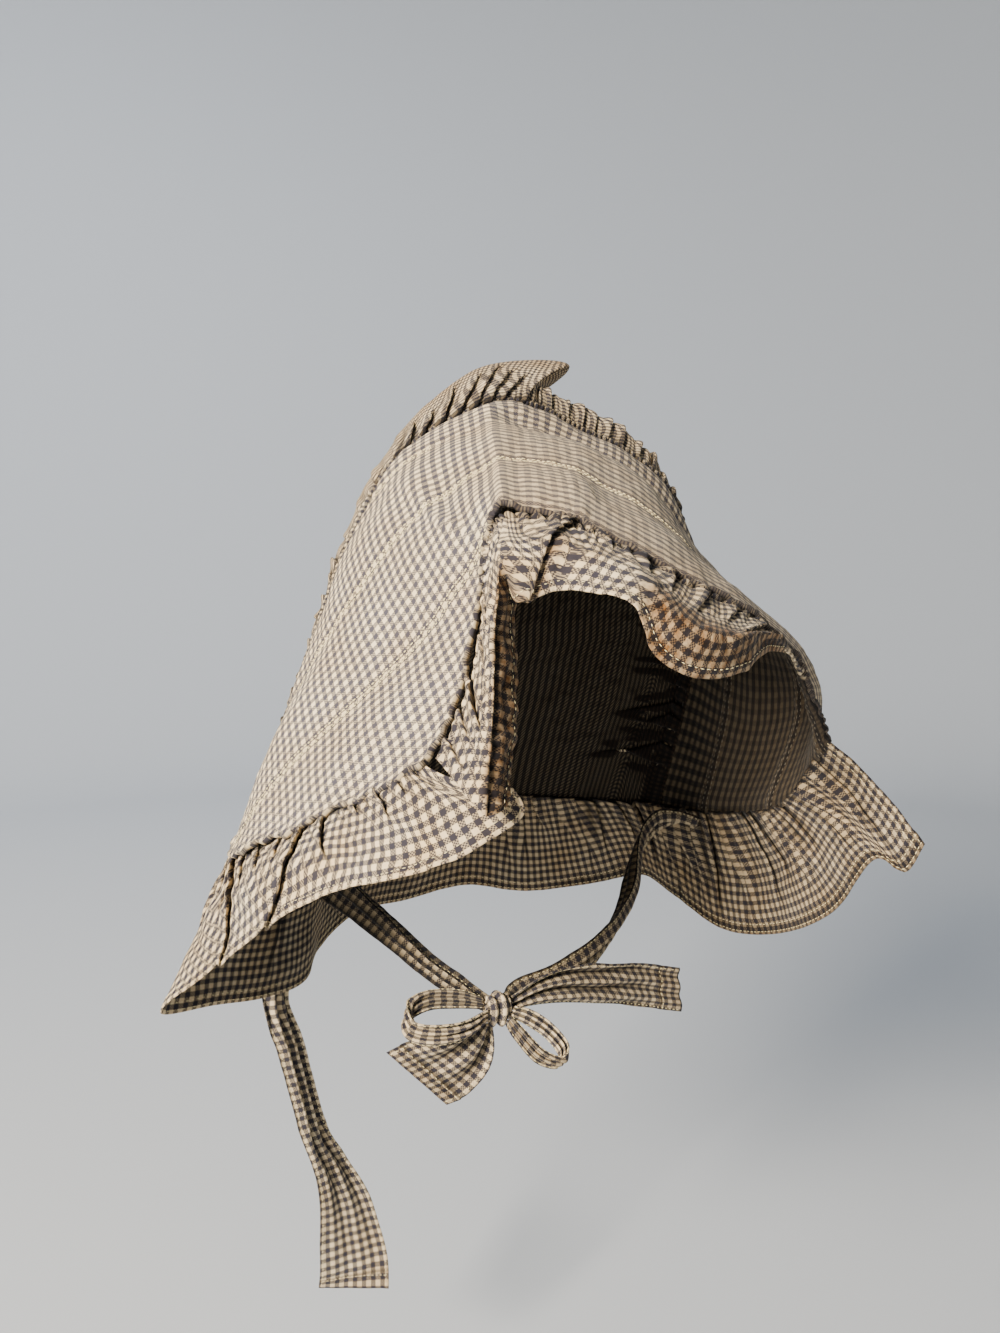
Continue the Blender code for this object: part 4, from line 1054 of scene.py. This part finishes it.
def makeTie(node, seed):
    route = np.array(ties["routes"][node])
    rows = through(route, even(12 * len(route)))
    centres, ways, shown = rows[:, :3], unit(rows[:, 3:6]), ties["width"] * rows[:, 6]
    tangents = unit(np.gradient(centres, axis=0))
    facing = unit(np.cross(tangents, ways))
    across = even(ties["rows"]) - 0.5
    length = lengthsAlong(centres)
    spare = np.sqrt(np.clip(ties["width"] / shown - 1, 0, 4))
    height = np.minimum(shown / (math.pi * ties["creases"]) * spare, 1.3 if "loop" in node else 3.2)
    endHem = ties["endHems"].get(node, 0.0)
    if endHem:
        height = height * (1 - 0.7 * ramp(length, 0.45 * length[-1], 0.95 * length[-1]))
    l, c = np.meshgrid(length, across, indexing="ij")
    phase = 2 * math.pi * ties["creases"] * c + 1.6 * noiseField(l, c * 0, 30.0, seed)
    crease = height[:, None] * np.sin(phase) + 0.35 * noiseField(l, c * 30, 9.0, seed + 3, 2)
    sideHem = 0.5 - ties["sideHem"] / ties["width"]
    turnedUp = l > length[-1] - endHem
    crease = crease + 0.3 * (np.abs(c) > sideHem) + 0.9 * turnedUp
    spread = (shown[:, None] * across)[..., None] * ways[:, None]
    grid = centres[:, None] + spread + crease[..., None] * facing[:, None]
    crowding = ties["crowding"].get(node, 1.0)
    flatMap = crowding * np.stack(np.broadcast_arrays(ties["width"] * across[None, :] + 1.4, length[:, None]), axis=-1)
    valleys = np.clip(-np.sin(phase) * height[:, None] / 2, 0, 1)
    underHem = bell(l, length[-1] - endHem, 0.8) * (endHem > 0)
    # Marks: painted shade in the creases' valleys and under the turned-up end hem, on top of the tie's own darkening.
    marks = {
        "grimeAndShade": ties["grimeAndShade"].get(node, 0.1) + 0.45 * valleys + 0.6 * underHem,
        "stainAndShade": 0.2 + 0.25 * turnedUp,
    }
    half, fromSide = ties["thickness"] / 2, ties["sideHem"] * shown.mean() / ties["width"]
    sewn = hemLines(grid, fromSide, half) + hemLines(grid[:, ::-1], fromSide, half)
    if endHem:
        sewn += hemLines(grid.swapaxes(0, 1), endHem - 0.8, half)
    name = node.title().replace("_", "")
    stitches = sewLines(name + "Stitches", sewn, "tieHem")
    return makeSheet(name, grid, flatMap, materials["tie"], marks, ties["thickness"]), stitches


tiePieces, tieSewing = {}, {}
for k, node in enumerate(ties["routes"]):
    tiePieces[node], tieSewing[node] = makeTie(node, 20.0 + k)

knot = {
    "centre": (-39, -69, -226),
    "size": (12.5, 12, 15),
    "folds": 3.5,
    "foldDepth": 0.17,
    "crowding": (9, 7),  # mm of cloth per radian, over the knot and round it
    "columns": 72,
    "rows": 60,
}


def makeKnot():
    turn, climb = np.meshgrid(2 * math.pi * even(knot["columns"]), math.pi * even(knot["rows"]), indexing="ij")
    # The tie is wrapped round the knot's width.
    lengthwise = knot["folds"] * climb + 0.5 * np.sin(turn + 0.6) + 0.3 * np.sin(2 * turn)
    wrap = np.sin(climb) ** 0.6 * (1 + knot["foldDepth"] * (ruck(lengthwise) - 0.3) + 0.04 * np.sin(3 * turn))
    ball = np.stack([-np.cos(climb), np.cos(turn) * wrap, np.sin(turn) * wrap], axis=-1)
    grid = ball * np.array(knot["size"]) / 2 + np.array(knot["centre"])
    flatMap = np.stack([climb, turn], axis=-1) * knot["crowding"]
    # Painted shade in the folds' valleys.
    marks = {"grimeAndShade": 0.1 + 0.8 * np.clip(-ruck(lengthwise), 0, 1), "stainAndShade": 0.2 + 0 * climb}
    piece = makeSheet("BowKnot", grid, flatMap, materials["tie"], marks, closed=True)
    piece.modifiers.clear()
    return piece


tiePieces["bow_knot"] = makeKnot()
print("ties made:", len(tiePieces))


# Riding and standing for the imported nodes

# A piece's flat cut: width and length in m, how it is held, what it hangs from, area in m2 if not a rectangle's.
sheets = {
    "quiltedBrim": ((0.60, 0.17), "stretched", ["gatheredCrown"], 0.0816),
    "crownHeading": ((0.60, 0.010), "gathered", ["quiltedBrim"], None),
    "gatheredCrown": ((0.70, 0.16), "gathered", ["quiltedBrim"], 0.105),
    "frontFrill": ((0.40, 0.050), "gathered", ["quiltedBrim"], None),
    "neckCurtain": ((0.95, 0.072), "gathered", ["quiltedBrim", "gatheredCrown"], None),
    "ChinTieRight": ((0.042, 0.167), "hung", ["quiltedBrim"], None),
    "ChinTieLeft": ((0.042, 0.196), "hung", ["quiltedBrim"], None),
    "BowLoopRight": ((0.014, 0.084), "folded", ["BowKnot"], None),  # the tie folded in three lengthwise
    "BowLoopLeft": ((0.014, 0.068), "folded", ["BowKnot"], None),
    "BowTailRight": ((0.042, 0.040), "folded", ["BowKnot"], None),
    "BowTailLeft": ((0.042, 0.100), "folded", ["BowKnot"], None),
    "BackTie": ((0.042, 0.288), "hung", ["gatheredCrown"], None),
    "BowKnot": ((0.014, 0.030), "folded", ["ChinTieRight", "ChinTieLeft"], None),
}


def dress(piece, node, sewn=()):
    for part in (piece, *sewn):
        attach(part, "root")
        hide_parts(node)
    flat, held, restsOn, area = sheets[piece.name]
    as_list(restsOn)


dress(brimPiece, "brim", brimSewing)
dress(headingPiece, "crown_heading")
dress(crownPiece, "crown")
dress(frillPiece, "front_frill", frillSewing)
dress(curtainPiece, "neck_curtain", curtainSewing)
for node, piece in tiePieces.items():
    dress(piece, node, [tieSewing[node]] if node in tieSewing else ())
print("cloth declared:", len(sheets))


# Studio

studio = {
    "cameraPlace": (-0.210, -0.475, -0.040),
    "cameraPitch": 4.0,
    "cameraYaw": 23.0,
    "lens": 27.0,  # mm on a 36 mm sensor's long side
    "floor": -0.56,
    "floorReach": 2.2,
    "wallReach": 3.6,
    "wallHeight": 3.2,
    "backdrop": "#c3c8cd",
}


def makeCamera():
    camera = addObject("camera", bpy.data.cameras.new("camera"))
    camera.location = studio["cameraPlace"]
    camera.rotation_euler = (math.radians(90 - studio["cameraPitch"]), 0, math.radians(-studio["cameraYaw"]))
    camera.data.lens = studio["lens"]
    camera.data.clip_start = 0.01
    bpy.context.scene.camera = camera


def makeStudio():
    profile = [(0.0, 0.0)] + [(studio["floorReach"] + (studio["wallReach"] - studio["floorReach"]) * math.sin(t),
                               studio["wallHeight"] * (1 - math.cos(t))) for t in np.linspace(0, math.pi / 2, 16)]
    turns = 64
    points = [(r * math.cos(2 * math.pi * k / turns), r * math.sin(2 * math.pi * k / turns), studio["floor"] + h)
              for r, h in profile[1:] for k in range(turns)]
    faces = [tuple(range(turns))]
    for ring in range(len(profile) - 2):
        for k in range(turns):
            a, b = ring * turns + k, ring * turns + (k + 1) % turns
            faces.append((a, a + turns, b + turns, b))
    mesh = bpy.data.meshes.new("studioFloor")
    mesh.from_pydata(points, [], faces)
    mesh.shade_smooth()
    paper, _, shader = newMaterial("matt backdrop paper", 0.95)
    shader.inputs["Base Color"].default_value = linear(studio["backdrop"])
    mesh.materials.append(paper)
    addObject("studioFloor", mesh)


def addLight(name, place, target, size, power, colour):
    light = bpy.data.lights.new(name, "AREA")
    light.size = size
    light.energy = power
    light.color = linear(colour)[:3]
    lamp = addObject(name, light)
    lamp.location = place
    lamp.rotation_euler = (Vector(target) - Vector(place)).to_track_quat("-Z", "Y").to_euler()


makeCamera()
makeStudio()
addLight("keyLight", (-1.55, -0.95, 0.62), (0, 0, -0.1), 0.6, 132.0, "#fff3e2")
addLight("fillLight", (0.3, -1.9, -0.1), (0, 0, -0.15), 1.2, 4.5, "#f2f5ff")
addLight("backdropLight", (-0.6, 1.4, 1.8), (0.6, 3.0, 0.4), 1.8, 45.0, "#f4f7ff")
world = bpy.data.worlds.new("studio air")
bpy.context.scene.world = world
world.use_nodes = True
world.node_tree.nodes["Background"].inputs["Color"].default_value = linear("#dfe6ee")
world.node_tree.nodes["Background"].inputs["Strength"].default_value = 0.25
print("studio ready")
